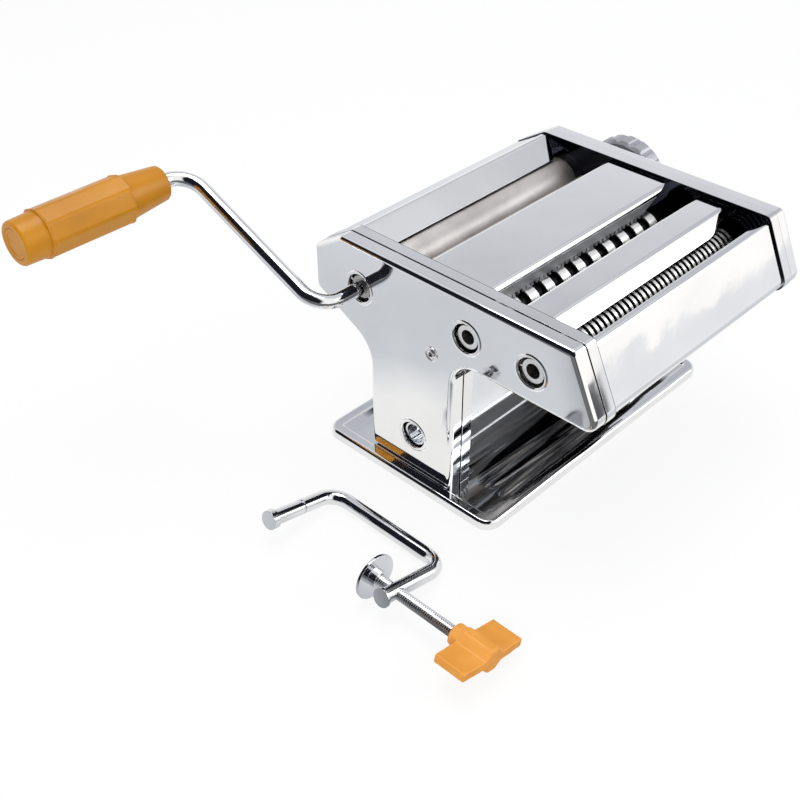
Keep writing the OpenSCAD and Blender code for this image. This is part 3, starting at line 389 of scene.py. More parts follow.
def noiseField(tree, scale, stretch, detail):
    coords = addNode(tree, "ShaderNodeTexCoord")
    mapping = addNode(tree, "ShaderNodeMapping")
    mapping.inputs["Scale"].default_value = stretch
    field = addNode(tree, "ShaderNodeTexNoise")
    field.inputs["Scale"].default_value = scale
    field.inputs["Detail"].default_value = detail
    tree.links.new(coords.outputs["Object"], mapping.inputs["Vector"])
    tree.links.new(mapping.outputs["Vector"], field.inputs["Vector"])
    return field.outputs[0]


def bumpOf(tree, height, distance, below=None):
    node = addNode(tree, "ShaderNodeBump")
    node.inputs["Strength"].default_value = 1
    node.inputs["Distance"].default_value = distance * mm
    tree.links.new(height, node.inputs["Height"])
    if below:
        tree.links.new(below, node.inputs["Normal"])
    return node


def darkGrooves(tree, base, setup):
    # painted shade below the rings of a roller along X, but not on its shaft ends; places run
    # from
    # 0 to 1 over the roller's box, and across is what lies between them and its middle line
    place = addNode(tree, "ShaderNodeTexCoord").outputs["Generated"]
    across = addNode(tree, "ShaderNodeVectorMath", operation="MULTIPLY_ADD")
    tree.links.new(place, across.inputs[0])
    across.inputs[1].default_value = (0, 1, 1)
    across.inputs[2].default_value = (0, -0.5, -0.5)
    reach = addNode(tree, "ShaderNodeVectorMath", operation="LENGTH")
    tree.links.new(across.outputs[0], reach.inputs[0])
    ring = mapRange(tree, reach.outputs["Value"], *setup["edge"], 0, 1, smooth=True)
    aside = combined(tree, "SUBTRACT", splitPlace(tree, place)["X"], setup["middle"])
    shaft = mapRange(tree, combined(tree, "ABSOLUTE", aside), *setup["ends"], 0, 1)
    return mixColours(tree, combined(tree, "MAXIMUM", ring, shaft), setup["colour"], base)


def nearMiddle(tree, reach):
    # 1 up to the first distance from the plane X = 0, 0 from the second on; with Z beside it
    place = splitPlace(tree, addNode(tree, "ShaderNodeTexCoord").outputs["Object"])
    return mapRange(tree, combined(tree, "ABSOLUTE", place["X"]), *reach, 1, 0), place["Z"]


def darkInside(tree, base, setup):
    # painted shade on the inner faces of the side frames, above the legs
    inner, height = nearMiddle(tree, setup["reach"])
    high = mapRange(tree, height, *setup["height"], 0, 1, smooth=True)
    share = combined(tree, "MULTIPLY", inner, high)
    return mixColours(tree, share, base, setup["colour"])


def rippleBands(tree, setup):
    return noiseField(tree, setup["scale"], setup["stretch"], finishDetail["bumpDetail"])


def darkRipples(tree, base, setup):
    # painted reflection: dark bands in the ripples between the side walls
    inner, _ = nearMiddle(tree, setup["reach"])
    dark = mapRange(tree, rippleBands(tree, setup), *setup["dark"], 0, 1)
    share = combined(tree, "MULTIPLY", inner, dark)
    return mixColours(tree, share, base, setup["colour"])


def raisedRipples(tree, below, setup):
    inner, _ = nearMiddle(tree, setup["reach"])
    bump = bumpOf(tree, rippleBands(tree, setup), setup["height"], below)
    tree.links.new(inner, bump.inputs["Strength"])
    return bump.outputs["Normal"]


def makeFinish(name, look):
    material = bpy.data.materials.new(name)
    material.use_nodes = True
    tree = material.node_tree
    shader = tree.nodes["Principled BSDF"]
    shader.inputs["Metallic"].default_value = look["metal"]
    if "milky" in look:
        shader.inputs["Subsurface Weight"].default_value = look["milky"]
        shader.inputs["Subsurface Radius"].default_value = finishDetail["milkyRadius"]
        shader.inputs["Subsurface Scale"].default_value = finishDetail["milkyScale"]
    if "shine" in look:
        shader.inputs["Specular IOR Level"].default_value = look["shine"]
    patches = noiseField(tree, look["patches"], finishDetail["evenStretch"],
                         finishDetail["patchDetail"])
    share = mapRange(tree, patches, *finishDetail["patchEdge"], 0, 1)
    base = mixColours(tree, share, look["colour"], look["shade"])
    # painted shade in the grooves of the cutter rollers
    if "grooves" in look:
        base = darkGrooves(tree, base, look["grooves"])
    # painted shade inside the frames' cavity
    if "inside" in look:
        base = darkInside(tree, base, look["inside"])
    # painted dark reflections in the base's ripple bands
    if "rippleAndReflection" in look:
        base = darkRipples(tree, base, look["rippleAndReflection"])
    tree.links.new(base, shader.inputs["Base Color"])
    wiped = noiseField(tree, look["patches"] * finishDetail["wipeScale"],
                       finishDetail["wipeStretch"], finishDetail["wipeDetail"])
    tree.links.new(mapRange(tree, wiped, *finishDetail["wipeEdge"], *look["rough"]),
                   shader.inputs["Roughness"])
    below = None
    for scale, stretch, height in look["relief"]:
        field = noiseField(tree, scale, stretch, finishDetail["bumpDetail"])
        below = bumpOf(tree, field, height, below).outputs["Normal"]
    if "rippleAndReflection" in look:
        below = raisedRipples(tree, below, look["rippleAndReflection"])
    tree.links.new(below, shader.inputs["Normal"])
    return material


finishes = {name: makeFinish(name, look) for name, look in finishLooks.items()}
print("finishes ready:", len(finishes))

# Carried-over CAD nodes: a finish, and edges that catch the light

nodeFinish = {
    "polishedSheet": ["crank_side_cover", "knob_side_cover", "rear_plate", "centre_cover",
                      "middle_cover", "front_cover"],
    "chuteSheet": ["chute_plate"],
    "frameSheet": ["crank_side_frame", "knob_side_frame"],
    "baseSheet": ["base_plate"],
    "brightRod": ["tie_rod_low", "tie_rod_back", "tie_rod_front", "clamp_socket", "crank_rod",
                  "clamp_frame", "clamp_foot", "clamp_screw", "axle_cap", "adjuster_axle",
                  "cover_screw_crank", "cover_screw_knob"],
    "rollerSteel": ["drive_roller", "adjust_roller"],
    "cutterSteel": ["wide_roller_back", "wide_roller_front", "narrow_roller_back",
                    "narrow_roller_front"],
    "gearSteel": ["drive_gear", "adjust_gear", "wide_gear_back", "wide_gear_front",
                  "narrow_gear_back", "narrow_gear_front"],
    "scraperSteel": ["drive_scraper", "adjust_scraper", "wide_comb_back", "wide_comb_front",
                     "narrow_comb_back", "narrow_comb_front", "index_plate"],
    "nylon": ["drive_bush_crank", "drive_bush_knob", "axle_bush", "wide_bearing_crank",
              "wide_bearing_knob", "narrow_bearing_crank", "narrow_bearing_knob",
              "float_bush_crank", "float_bush_knob"],
    "rubber": ["rubber_pad_1", "rubber_pad_2", "rubber_pad_3", "rubber_pad_4"],
    "knobAlloy": ["adjuster_knob"],
    "ochrePlastic": ["crank_grip", "grip_cap"],
    "orangePlastic": ["wing_knob"],
    "springWire": ["knob_spring"],
}
edgeWidth = {                           # mm of rounding on the sharp edges of a node
    "base_plate": 0.25, "crank_side_frame": 0.2, "knob_side_frame": 0.2,
    "chute_plate": 0.15, "clamp_frame": 0.4, "clamp_foot": 0.25, "axle_cap": 0.5,
    "adjuster_knob": 0.35, "index_plate": 0.3, "drive_roller": 0.3, "adjust_roller": 0.3,
    "wide_roller_back": 0.15, "wide_roller_front": 0.15,
    "narrow_roller_back": 0.12, "narrow_roller_front": 0.12,
    "rubber_pad_1": 0.6, "rubber_pad_2": 0.6, "rubber_pad_3": 0.6, "rubber_pad_4": 0.6,
    "clamp_socket": 0.3, "tie_rod_low": 0.2, "tie_rod_back": 0.2, "tie_rod_front": 0.2,
}
edgeSetup = {"flatAngle": 0.4, "segments": 2, "weight": 75, "weld": 0.002}
sharpAngle = 32                         # degrees from which an edge counts as sharp


def smoothEdges(piece, width, angle=sharpAngle):
    # rounded or split edges, with flat faces kept flat in the shading
    if width:
        flats = piece.modifiers.new("flats", "DECIMATE")
        flats.decimate_type = "DISSOLVE"
        flats.angle_limit = math.radians(edgeSetup["flatAngle"])
        rounding = piece.modifiers.new("edges", "BEVEL")
        rounding.width, rounding.segments = width * mm, edgeSetup["segments"]
        rounding.limit_method, rounding.angle_limit = "ANGLE", math.radians(angle)
        rounding.use_clamp_overlap = True
    else:
        split = piece.modifiers.new("edges", "EDGE_SPLIT")
        split.use_edge_angle, split.split_angle = True, math.radians(angle)
    weighted = piece.modifiers.new("shading", "WEIGHTED_NORMAL")
    weighted.weight, weighted.keep_sharp = edgeSetup["weight"], not width


for finishName, nodeNames in nodeFinish.items():
    for nodeName in nodeNames:
        cadNode = frame["nodes"][nodeName]
        for slot in cadNode.material_slots:
            slot.material = finishes[finishName]
        cadNode.data.shade_smooth()
        weld = cadNode.modifiers.new("weld", "WELD")
        weld.merge_threshold = edgeSetup["weld"] * mm
        smoothEdges(cadNode, edgeWidth.get(nodeName, 0))
print("CAD nodes dressed:", sum(len(names) for names in nodeFinish.values()))

# Makers of new pieces; every length in them is in millimetres

axisRadius = 0.02                       # stands in for zero where a turned form closes


def meshOf(name, points, faces):
    mesh = bpy.data.meshes.new(name)
    mesh.from_pydata([Vector(p) * mm for p in points], [], faces)
    work = bmesh.new()
    work.from_mesh(mesh)
    bmesh.ops.recalc_face_normals(work, faces=work.faces)
    work.to_mesh(mesh)
    work.free()
    return mesh


def makePiece(name, points, faces, finish, body, replaced=(), width=0.0, angle=sharpAngle):
    mesh = meshOf(name, points, faces)
    mesh.shade_smooth()
    mesh.materials.append(finishes[finish])
    piece = addObject(name, mesh)
    smoothEdges(piece, width, angle)
    return rideAndName(piece, body, replaced)


def rideAndName(piece, body, replaced=()):
    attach(piece, body)
    if replaced:
        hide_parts(*replaced)
    return piece


def settledMesh(source, finish):
    # mesh that a text or an object with modifiers settles to; the source itself goes
    bpy.context.view_layer.update()
    settled = source.evaluated_get(bpy.context.evaluated_depsgraph_get())
    mesh = bpy.data.meshes.new_from_object(settled)
    bpy.data.objects.remove(source)
    mesh.materials.clear()
    mesh.materials.append(finishes[finish])
    return mesh


def alongX(x, y, z, way=1):
    # local Z runs along +X, or along -X when way is -1
    if way > 0:
        turn = Matrix(((0, 0, 1), (1, 0, 0), (0, 1, 0))).to_4x4()
    else:
        turn = Matrix(((0, 0, -1), (0, 1, 0), (1, 0, 0))).to_4x4()
    return Matrix.Translation((x, y, z)) @ turn


def skinFaces(rows, count, closed):
    # faces over rows of count points each; closed joins last to first, else each end is capped
    faces = []
    for row in range(rows if closed else rows - 1):
        low, high = row * count, (row + 1) % rows * count
        for k in range(count):
            following = (k + 1) % count
            faces.append((low + k, low + following, high + following, high + k))
    if not closed:
        faces.append(tuple(range(count - 1, -1, -1)))
        faces.append(tuple(range((rows - 1) * count, rows * count)))
    return faces


def loftPiece(name, rings, place, finish, body, replaced=(), closed=True,
              angle=sharpAngle):
    # skin over rings of equal length, each a list of points
    points = [place @ Vector(p) for ring in rings for p in ring]
    faces = skinFaces(len(rings), len(rings[0]), closed)
    return makePiece(name, points, faces, finish, body, replaced, angle=angle)


def circle(radius, height, steps, start=0):
    # points round the local Z axis; start is the share of a step that the first one is turned
    angles = [2 * math.pi * (k + start) / steps for k in range(steps)]
    return [(radius * math.cos(a), radius * math.sin(a), height) for a in angles]


def quarterTurn(steps):
    return [math.pi / 2 * k / steps for k in range(steps + 1)]


def turnedPiece(name, profile, place, finish, body, replaced=(), closed=False, steps=96):
    # turned form of a profile of (radius, height) pairs round the local Z axis
    rings = [circle(max(radius, axisRadius), height, steps) for radius, height in profile]
    return loftPiece(name, rings, place, finish, body, replaced, closed)


sheetFold = {"step": 0.6, "edge": 0.12, "angle": 50, "arcSteps": 10,
             "straight": 0.02}          # radians up to which a corner counts as none
blockFaces = ((0, 1, 2, 3), (4, 7, 6, 5), (0, 4, 5, 1), (1, 5, 6, 2), (2, 6, 7, 3), (3, 7, 4, 0))


def cornerArc(before, corner, after, radius):
    # points of the bend of this radius that rounds off a corner
    first = (Vector(corner) - Vector(before)).normalized()
    second = (Vector(after) - Vector(corner)).normalized()
    turned = math.atan2(first.x * second.y - first.y * second.x, first.dot(second))
    if radius <= 0 or abs(turned) < sheetFold["straight"]:
        return [Vector(corner)]
    side = math.copysign(1, turned)
    normal = Vector((-first.y, first.x))
    back = first * radius * math.tan(abs(turned) / 2)
    centre = Vector(corner) - back + normal * side * radius
    points = []
    for k in range(sheetFold["arcSteps"] + 1):
        angle = turned * k / sheetFold["arcSteps"]
        spun = Vector((normal.x * math.cos(angle) - normal.y * math.sin(angle),
                       normal.x * math.sin(angle) + normal.y * math.cos(angle)))
        points.append(centre - spun * side * radius)
    return points


def foldedLine(corners):
    # points along a line of (y, z, radius) corners, no further apart than a step
    bent = [Vector(corners[0][:2])]
    for k in range(1, len(corners) - 1):
        bent += cornerArc(corners[k - 1][:2], corners[k][:2], corners[k + 1][:2], corners[k][2])
    bent.append(Vector(corners[-1][:2]))
    line = [bent[0]]
    for start, end in zip(bent, bent[1:]):
        parts = max(1, math.ceil((end - start).length / sheetFold["step"]))
        line += [start.lerp(end, k / parts) for k in range(1, parts + 1)]
    return line


def alongTable(table, value):
    # value read from a table of (place, value) pairs in rising order
    if value <= table[0][0]:
        return table[0][1]
    for (low, first), (high, second) in zip(table, table[1:]):
        if value <= high:
            share = (value - low) / (high - low)
            return first + (second - first) * share
    return table[-1][1]


def toothedEdge(name, shape, finish):
    # row of teeth along X that carries a sheet on from its lower edge
    top, foot = Vector(shape["top"]), Vector(shape["foot"])
    down = (foot - top).normalized()
    inward = Vector((-down.y, down.x)) * shape["thickness"]
    points, faces = [], []
    count = int((shape["to"] - shape["from"]) / shape["pitch"])
    for tooth in range(count):
        near = shape["from"] + tooth * shape["pitch"]
        start = len(points)
        for x in (near, near + shape["width"]):
            points += [(x, at.x, at.y) for at in (top, foot, foot + inward, top + inward)]
        faces += [tuple(start + k for k in face) for face in blockFaces]
    return makePiece(name, points, faces, finish, "body")


def foldedSheet(name, sheet, replaced=()):
    # sheet folded along X; its +X end follows a table of distances along the sheet
    line = foldedLine(sheet["corners"])
    walked = [0.0]
    for start, end in zip(line, line[1:]):
        walked.append(walked[-1] + (end - start).length)
    points = []
    for k, point in enumerate(line):
        ahead = line[min(k + 1, len(line) - 1)] - line[max(k - 1, 0)]
        inward = Vector((-ahead.y, ahead.x)).normalized() * sheet["thickness"]
        place = walked[k] if sheet.get("fromStart") else walked[-1] - walked[k]
        far = alongTable(sheet["farEnd"], place)
        for at in (point, point + inward):
            points += [(sheet["nearEnd"], at.x, at.y), (far, at.x, at.y)]
    faces = [(0, 1, 3, 2)]
    for k in range(len(line) - 1):
        a, b = 4 * k, 4 * k + 4
        faces += [(a, b, b + 1, a + 1), (a + 2, a + 3, b + 3, b + 2),
                  (a, a + 2, b + 2, b), (a + 1, b + 1, b + 3, a + 3)]
    last = 4 * (len(line) - 1)
    faces.append((last, last + 2, last + 3, last + 1))
    return makePiece(name, points, faces, sheet.get("finish", "polishedSheet"), "body",
                     replaced, sheetFold["edge"], sheetFold["angle"])


# Top covers. The far ends of the sloped flaps are cut off at a slant.

centreCover = {
    "corners": [(6, 125, 0), (6, 131, 3), (-36.9, 131, 3.4), (-37.44, 127.9, 0)],
    "thickness": 0.8, "nearEnd": -77, "farEnd": [(0, 64), (3.4, 73), (5.0, 76.2), (7.2, 77)]}
centreFlap = {
    "corners": [(-37.44, 127.9, 0), (-38.32, 122.83, 0)], "finish": "shadedFlapSheet",
    "thickness": 0.8, "nearEnd": -77, "farEnd": [(0, 51.3), (1.85, 55), (5.15, 64)]}
flapTeeth = {"top": (-38.32, 122.83), "foot": (-38.6, 121.2), "from": -76.2, "to": 50.0,
             "pitch": 3.6, "width": 1.7, "thickness": 0.8}
middleCover = {
    "corners": [(-54.5, 124, 0), (-54.5, 130, 3), (-72.5, 130, 3.8), (-79.6, 122.6, 0)],
    "thickness": 0.8, "nearEnd": -77,
    "farEnd": [(0, 52), (0.4, 55), (1.2, 57.5), (3, 61), (8.8, 74), (10.2, 76.4), (12, 77)]}
frontCover = {
    "corners": [(-95, 124, 0), (-95, 130, 0.8), (-99.1, 130, 4), (-117.1, 92.7, 5.8),
                (-100.1, 92.7, 0)],
    "thickness": 0.8, "nearEnd": -77, "fromStart": True,
    "farEnd": [(0, 60), (5.6, 60), (6.4, 60.8), (7.4, 63), (8.4, 67), (9.3, 73), (10, 77)]}
rearPlate = {
    "corners": [(46, 80.2, 0), (72.7, 94.3, 4.7), (72.7, 120.2, 4), (52, 132.7, 4),
                (38.6, 122.6, 0)],
    "thickness": 0.8, "nearEnd": -77,
    "farEnd": [(0, 68), (0.6, 70), (14, 76.6), (16.5, 77)]}

foldedSheet("centreCoverSheet", centreCover, ["centre_cover"])
foldedSheet("centreCoverFlap", centreFlap)
toothedEdge("centreFlapTeeth", flapTeeth, "shadedFlapSheet")
foldedSheet("middleCoverSheet", middleCover, ["middle_cover"])
foldedSheet("frontCoverSheet", frontCover, ["front_cover"])
foldedSheet("rearPlateSheet", rearPlate, ["rear_plate"])
print("covers ready")

# Side covers: pressed sheet with a rounded rim, open under the legs

sideCover = {
    "face": 93.0, "sheet": 1.0,         # X of the flat outer side, and the thickness
    "rim": 2.6, "steps": 8,             # outer radius of the rim, and the steps of its bend
    "lip": 84.6, "foot": 5.3,           # X where the rim ends, and Z where the cover ends
    "guard": 0.35,                      # flat strip along the outline before the rim begins
}
outlineSlack = {"face": 0.03, "foot": 0.05}  # how far a point may lie off its plane


def faceOutlines(nodeName, level):
    # closed outlines, as (y, z) points, of a CAD node's flat face at X = level, longest first
    mesh = frame["nodes"][nodeName].data
    spots = [tuple(round(value / mm, 2) for value in vertex.co) for vertex in mesh.vertices]
    used = {}
    for face in mesh.polygons:
        ring = [spots[k] for k in face.vertices]
        if all(abs(spot[0] - level) < outlineSlack["face"] for spot in ring):
            for start, end in zip(ring, ring[1:] + ring[:1]):
                if start[1:] != end[1:]:
                    edge = frozenset((start[1:], end[1:]))
                    used[edge] = used.get(edge, 0) + 1
    near = {}
    for edge in [edge for edge, times in used.items() if times == 1]:
        start, end = sorted(edge)
        near.setdefault(start, []).append(end)
        near.setdefault(end, []).append(start)
    outlines = []
    while near:
        here = min(near)
        outline = []
        while near.get(here):
            outline.append(here)
            there = near[here].pop()
            near[there].remove(here)
            here = there
        near = {spot: others for spot, others in near.items() if others}
        outlines.append(outline)
    return sorted(outlines, key=lambda outline: min(outline)[0] - max(outline)[0])


def outwardMoves(outline, foot):
    # how each point moves when the outline grows by 1 mm; the foot line stays where it is
    count = len(outline)
    moves = []
    for k, here in enumerate(outline):
        normals = []
        for start, end in ((outline[k - 1], here), (here, outline[(k + 1) % count])):
            if max(start[1], end[1]) > foot + outlineSlack["foot"]:
                along = Vector(end) - Vector(start)
                normals.append(Vector((along.y, -along.x)).normalized())
        if not normals:
            moves.append(Vector((0, 0)))
        elif len(normals) == 1:
            moves.append(Vector((1 / normals[0].x, 0)))
        else:
            moves.append((normals[0] + normals[1]) / (1 + normals[0].dot(normals[1])))
    return moves


def pressedCover(name, nodeName, shape, way):
    outline, *holes = faceOutlines(nodeName, way * shape["face"])
    area = sum(a[0] * b[1] - b[0] * a[1] for a, b in zip(outline, outline[1:] + outline[:1]))
    if area < 0:
        outline = outline[::-1]
    count, face, inner = len(outline), shape["face"], shape["face"] - shape["sheet"]
    foot, slack = shape["foot"], outlineSlack["foot"]
    moves = outwardMoves(outline, foot)
    angles = quarterTurn(shape["steps"])
    wide, narrow = shape["rim"], shape["rim"] - shape["sheet"]
    rows = [(-shape["guard"], face)]
    rows += [(wide * math.sin(a), face - wide * (1 - math.cos(a))) for a in angles]
    rows += [(wide, shape["lip"]), (narrow, shape["lip"])]
    rows += [(narrow * math.sin(a), inner - narrow * (1 - math.cos(a))) for a in angles[::-1]]
    rows.append((-shape["guard"], inner))
    points = [(way * x, y + move.x * out, z + move.y * out)
              for out, x in rows for (y, z), move in zip(outline, moves)]
    faces = []
    final = (len(rows) - 1) * count
    for k in range(count):
        following = (k + 1) % count
        if max(outline[k][1], outline[following][1]) < foot + slack:
            faces.append((k, following, final + following, final + k))
        else:
            faces += [(low + k, low + following, low + count + following, low + count + k)
                      for low in range(0, final, count)]
    for k in range(count):               # cut ends of the rim at the foot of the leg
        sides = [abs(outline[at % count][1] - foot) < slack for at in (k - 1, k, k + 1)]
        if sides[1] and not (sides[0] and sides[2]):
            faces.append(tuple(range(k, len(rows) * count, count)))
    for x, first in ((face, 0), (inner, final)):
        loops = [[Vector(points[first + k]) for k in range(count)]]
        numbers = list(range(first, first + count))
        for hole in holes:
            numbers += range(len(points), len(points) + len(hole))
            points += [(way * x, y, z) for y, z in hole]
            loops.append([Vector((way * x, y, z)) for y, z in hole])
        faces += [tuple(numbers[k] for k in corners) for corners in tessellate_polygon(loops)]
    around = sum(len(hole) for hole in holes)
    start = len(rows) * count
    for hole in holes:
        size = len(hole)
        for k in range(size):
            low, high = start + k, start + (k + 1) % size
            faces.append((low, high, high + around, low + around))
        start += size
    return makePiece(name, points, faces, "polishedSheet", "body", [nodeName], angle=50)


pressedCover("crankCoverPressed", "crank_side_cover", sideCover, -1)
pressedCover("knobCoverPressed", "knob_side_cover", sideCover, 1)
print("side covers ready")

# Rolled rims of the access holes, and the hollow rivets of the covers

accessHoles = {
    "radius": 8.4,
    "places": {"holeRimDrive": (39, 107), "holeRimWide": (-35.2, 110.2),
               "holeRimNarrow": (-76, 110.2), "holeRimClamp": (0, 29.4)},
}
rimShape = [(1.7, -0.05), (1.5, 0.12), (1.1, 0.34), (0.6, 0.42), (0.1, 0.36), (-0.25, 0.12),
            (-0.4, -0.3), (-0.4, -1.5), (0.02, -1.5), (0.02, -0.05)]
for rimName, (rimY, rimZ) in accessHoles["places"].items():
    turnedPiece(rimName, [(accessHoles["radius"] + out, up) for out, up in rimShape],
                alongX(-sideCover["face"], rimY, rimZ, -1), "polishedSheet", "body", closed=True)

rivetSpot = (-12.6, 89.8)
rivetBead = [(3.5, -0.5), (3.5, 0.1), (3.65, 0.38), (3.95, 0.5), (4.25, 0.38), (4.4, 0.02),
             (4.4, -0.5)]
rivetRing = [(1.3, -0.5), (1.3, 0.3), (1.5, 0.6), (1.9, 0.72), (2.3, 0.6), (2.5, 0.3),
             (2.5, -0.5)]
# the seat deep in the hollow rivet takes the dark scraper steel: painted shade in the hollow
rivetShadeSeat = [(0, -0.5), (3.52, -0.5), (3.52, -0.12), (0, -0.12)]
for rivetName, rivetNode, way in (("coverRivetCrank", "cover_screw_crank", -1),
                                  ("coverRivetKnob", "cover_screw_knob", 1)):
    rivetPlace = alongX(sideCover["face"] * way, *rivetSpot, way)
    turnedPiece(rivetName, rivetBead, rivetPlace, "rivetSteel", "body", [rivetNode],
                closed=True, steps=64)
    turnedPiece(rivetName + "Ring", rivetRing, rivetPlace, "rivetSteel", "body", closed=True,
                steps=48)
    turnedPiece(rivetName + "ShadedSeat", rivetShadeSeat, rivetPlace, "scraperSteel", "body", closed=True,
                steps=48)
print("rims and rivets ready")

# Crank grip: round nose, flats in the middle, round end with its cap

gripShape = {
    "centre": (-121.8, 39, 107), "armAngle": 23, "arm": 109.5,
    "start": 17, "nose": 25, "middle": 50, "tail": 13.5, "bore": 4.06,
    "noseRadius": 9.6, "neckRadius": 12.0, "tailRadius": 12.2, "endRadius": 11.8,
    "flatRadius": 12.62, "cornerRadius": 13.3, "edge": 1.6, "step": 0.45,
    "ridge": 0.45, "ridgeCorner": 13.55,  # the ridges stand this far over the flats
    "boreEdge": 0.4, "seatEdge": 0.3, "neckLip": 0.1, "tailLip": 0.05, "bend": 0.15,
    "shoulder": 0.2, "seatRadius": 8.25, "seatDepth": 3,
    "flats": 8, "steps": 192, "edgeSteps": 6,
    # the cap as (radius, depth below the grip's end)
    "cap": [(0, 0.55), (5.6, 0.55), (6.1, 0.5), (6.45, 0.2), (6.8, 0.1), (7.84, 0.1),
            (8.11, 0.2), (8.19, 0.5), (8.19, 2.9), (0, 2.9)],
}


def gripRing(shape, radius, faceting, height, ridge=0):
    # round where faceting is 0, flats where it is 1, and the radius doesn't count there
    ring = []
    facet = 2 * math.pi / shape["flats"]
    corner = shape["ridgeCorner"] if ridge else shape["cornerRadius"]
    for k in range(shape["steps"]):
        angle = 2 * math.pi * k / shape["steps"]
        off = (angle + facet / 2) % facet - facet / 2
        faceted = min(corner, shape["flatRadius"] / math.cos(off) + ridge)
        reach = radius + (faceted - radius) * faceting
        ring.append((reach * math.cos(angle), reach * math.sin(angle), height))
    return ring


def makeGrip(shape):
    x, y, z = shape["centre"]
    tilt = math.radians(shape["armAngle"])
    place = (Matrix.Translation((x, y, z)) @ Matrix.Rotation(tilt, 4, "X")
             @ Matrix.Translation((0, shape["arm"], 0)) @ Matrix.Rotation(-math.pi / 2, 4, "Y"))
    z0 = shape["start"]
    z1 = z0 + shape["nose"]
    z2 = z1 + shape["middle"]
    z3 = z2 + shape["tail"]
    edge, step, bend, shoulder = shape["edge"], shape["step"], shape["bend"], shape["shoulder"]
    bore, seat, ridge = shape["bore"], shape["seatRadius"], shape["ridge"]
    angles = quarterTurn(shape["edgeSteps"])
    rows = [(bore, 0, z0 + shape["boreEdge"]), (bore + shape["boreEdge"], 0, z0)]
    rows += [(shape["noseRadius"] - edge * (1 - math.sin(a)), 0, z0 + edge * (1 - math.cos(a)))
             for a in angles]
    rows += [(shape["neckRadius"], 0, z1 - bend), (shape["neckRadius"] + shape["neckLip"], 0, z1),
             (0, 1, z1 + shoulder, ridge), (0, 1, z1 + 2 * step, ridge),
             (0, 1, z1 + 3 * step), (0, 1, z2 - 3 * step),
             (0, 1, z2 - 2 * step, ridge), (0, 1, z2 - shoulder, ridge),
             (shape["tailRadius"] + shape["tailLip"], 0, z2),
             (shape["tailRadius"], 0, z2 + bend)]
    rows += [(shape["endRadius"] - edge * (1 - math.cos(a)), 0, z3 - edge * (1 - math.sin(a)))
             for a in angles]
    rows += [(seat + shape["seatEdge"], 0, z3), (seat, 0, z3 - shape["seatEdge"]),
             (seat, 0, z3 - shape["seatDepth"]), (bore, 0, z3 - shape["seatDepth"])]
    rings = [gripRing(shape, *row) for row in rows]
    loftPiece("gripShell", rings, place, "ochrePlastic", "grip", ["crank_grip"], angle=50)
    cap = [(radius, z3 - depth) for radius, depth in shape["cap"]]
    turnedPiece("gripEndCap", cap, place, "ochrePlastic", "grip", ["grip_cap"])


makeGrip(gripShape)
print("grip ready")

# Clamp: threaded screw and wing knob

clampShape = {"corner": (-136.5, -62, 4.1), "screwReach": 36, "footRadius": 12.5,
              "rodRadius": 4.1}
clampTilt = math.asin((clampShape["footRadius"] - clampShape["rodRadius"])
                      / clampShape["screwReach"])
screwPlace = (Matrix.Translation(clampShape["corner"]) @ Matrix.Rotation(clampTilt, 4, "Y")
              @ Matrix.Translation((-clampShape["screwReach"], 0, 0))
              @ Matrix.Rotation(-math.pi / 2, 4, "X"))
clampScrew = {"radius": 3.2, "depth": 0.62, "pitch": 1.25, "from": -53.0, "to": 13.7,
              "steps": 36, "rowsPerTurn": 8,
              "lead": 1.2,              # length over which the thread fades at both ends
              "flank": 4.8, "groove": 0.7}  # how steep it is, and how wide its groove


def makeScrew(shape):
    rings = []
    rowCount = round((shape["to"] - shape["from"]) / shape["pitch"] * shape["rowsPerTurn"])
    for row in range(rowCount + 1):
        height = shape["from"] + (shape["to"] - shape["from"]) * row / rowCount
        taper = min(1, (height - shape["from"]) / shape["lead"],
                    (shape["to"] - height) / shape["lead"])
        ring = []
        for k in range(shape["steps"]):
            phase = (height / shape["pitch"] - k / shape["steps"]) % 1
            crest = min(1, max(0, shape["flank"] * abs(phase - 0.5) - shape["groove"]))
            radius = shape["radius"] - shape["depth"] * (1 - crest * max(0, taper))
            angle = 2 * math.pi * k / shape["steps"]
            ring.append((radius * math.cos(angle), radius * math.sin(angle), height))
        rings.append(ring)
    loftPiece("clampScrewThread", rings, screwPlace, "brightRod", "screw", ["clamp_screw"],
              closed=False, angle=60)


wingShape = {
    "from": -63.5, "flats": 8,
    # the hub as (radius, height over its foot)
    "hub": [(0, 0), (5.9, 0), (6.9, 0.7), (7.1, 2), (7.1, 18), (6.2, 19.6), (6.3, 23.3),
            (5.4, 24.5), (0, 24.5)],
    "start": 0.5, "width": 43.0, "depth": 19.0,
    "root": 5.0, "tip": 4.6, "slant": 1.0,  # the wings get thinner and shorter towards the tips
    "voxel": 0.42, "softness": 0.5, "smoothing": 5,
}


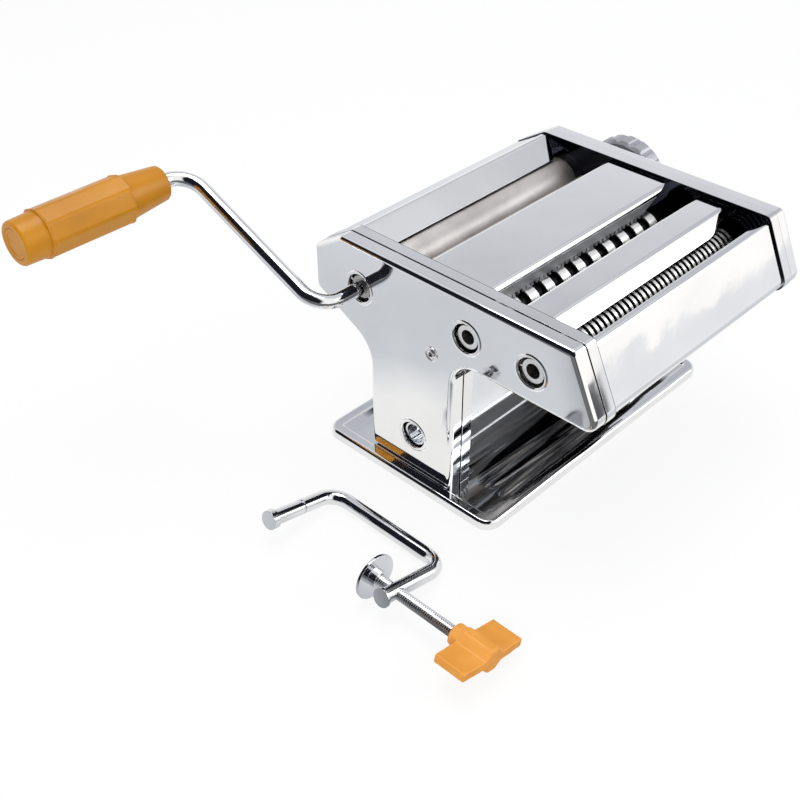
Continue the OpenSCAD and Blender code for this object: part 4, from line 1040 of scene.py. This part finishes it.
def makeWingKnob(shape):
    low = shape["from"]
    points = [point for radius, height in shape["hub"]
              for point in circle(max(radius, axisRadius), low + height, shape["flats"], 0.5)]
    faces = skinFaces(len(shape["hub"]), shape["flats"], closed=False)
    for side in (-1, 1):
        start = len(points)
        for reach, half, trim in ((shape["start"], shape["root"] / 2, 0),
                                  (shape["width"] / 2, shape["tip"] / 2, shape["slant"] / 2)):
            foot, top = low + trim, low + shape["depth"] - trim
            points += [(side * reach, y, height) for y, height in
                       ((-half, foot), (half, foot), (half, top), (-half, top))]
        faces += [tuple(start + k for k in face) for face in blockFaces]
    blank = addObject("wingBlank", meshOf("wingBlank", [screwPlace @ Vector(p) for p in points],
                                          faces))
    remesh = blank.modifiers.new("remesh", "REMESH")
    remesh.mode, remesh.voxel_size = "VOXEL", shape["voxel"] * mm
    soften = blank.modifiers.new("soften", "SMOOTH")
    soften.factor, soften.iterations = shape["softness"], shape["smoothing"]
    mesh = settledMesh(blank, "orangePlastic")
    mesh.name = "wingKnobMoulded"
    mesh.shade_smooth()
    knob = addObject("wingKnobMoulded", mesh)
    rideAndName(knob, "screw", ["wing_knob"])


makeScrew(clampScrew)
makeWingKnob(wingShape)
print("clamp ready")

# Thickness knob: coil spring and dial numbers

knobSpring = {"centre": (100.9, 9.4, 107), "radius": 6.5, "wire": 0.62, "length": 5.8,
              "turns": 3.6, "steps": 28, "sides": 12}
dial = {"face": 109.32, "centre": (9.4, 107), "radius": 20.0, "height": 4.6, "numbers": 7,
        "stepAngle": 30, "depth": 0.12}


def makeSpring(shape):
    x, y, z = shape["centre"]
    rings = []
    rows = round(shape["turns"] * shape["steps"])
    rise = shape["length"] - 2 * shape["wire"]
    for row in range(rows + 1):
        turned = 2 * math.pi * row / shape["steps"]
        height = shape["wire"] + rise * row / rows
        ring = []
        for k in range(shape["sides"]):
            around = 2 * math.pi * k / shape["sides"]
            reach = shape["radius"] + shape["wire"] * math.cos(around)
            ring.append((reach * math.cos(turned), reach * math.sin(turned),
                         height + shape["wire"] * math.sin(around)))
        rings.append(ring)
    coil = loftPiece("knobCoil", rings, alongX(x, y, z), "springWire", "adjuster",
                     ["knob_spring"], closed=False, angle=70)
    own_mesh(coil)


def makeDial(shape):
    for number in range(1, shape["numbers"] + 1):
        text = bpy.data.curves.new("dialText", "FONT")
        text.body = str(number)
        text.size, text.extrude = shape["height"] * mm, shape["depth"] * mm / 2
        text.align_x, text.align_y = "CENTER", "CENTER"
        mesh = settledMesh(addObject("dialText", text), "dialPaint")
        angle = math.radians(-shape["stepAngle"] * (number - 1))
        place = (alongX(shape["face"] - shape["depth"] / 2, *shape["centre"])
                 @ Matrix.Rotation(angle, 4, "Z") @ Matrix.Translation((0, shape["radius"], 0)))
        place.translation *= mm
        mesh.transform(place)
        rideAndName(addObject(f"dialNumber{number}", mesh), "knob")


makeSpring(knobSpring)
makeDial(dial)
print("knob ready")
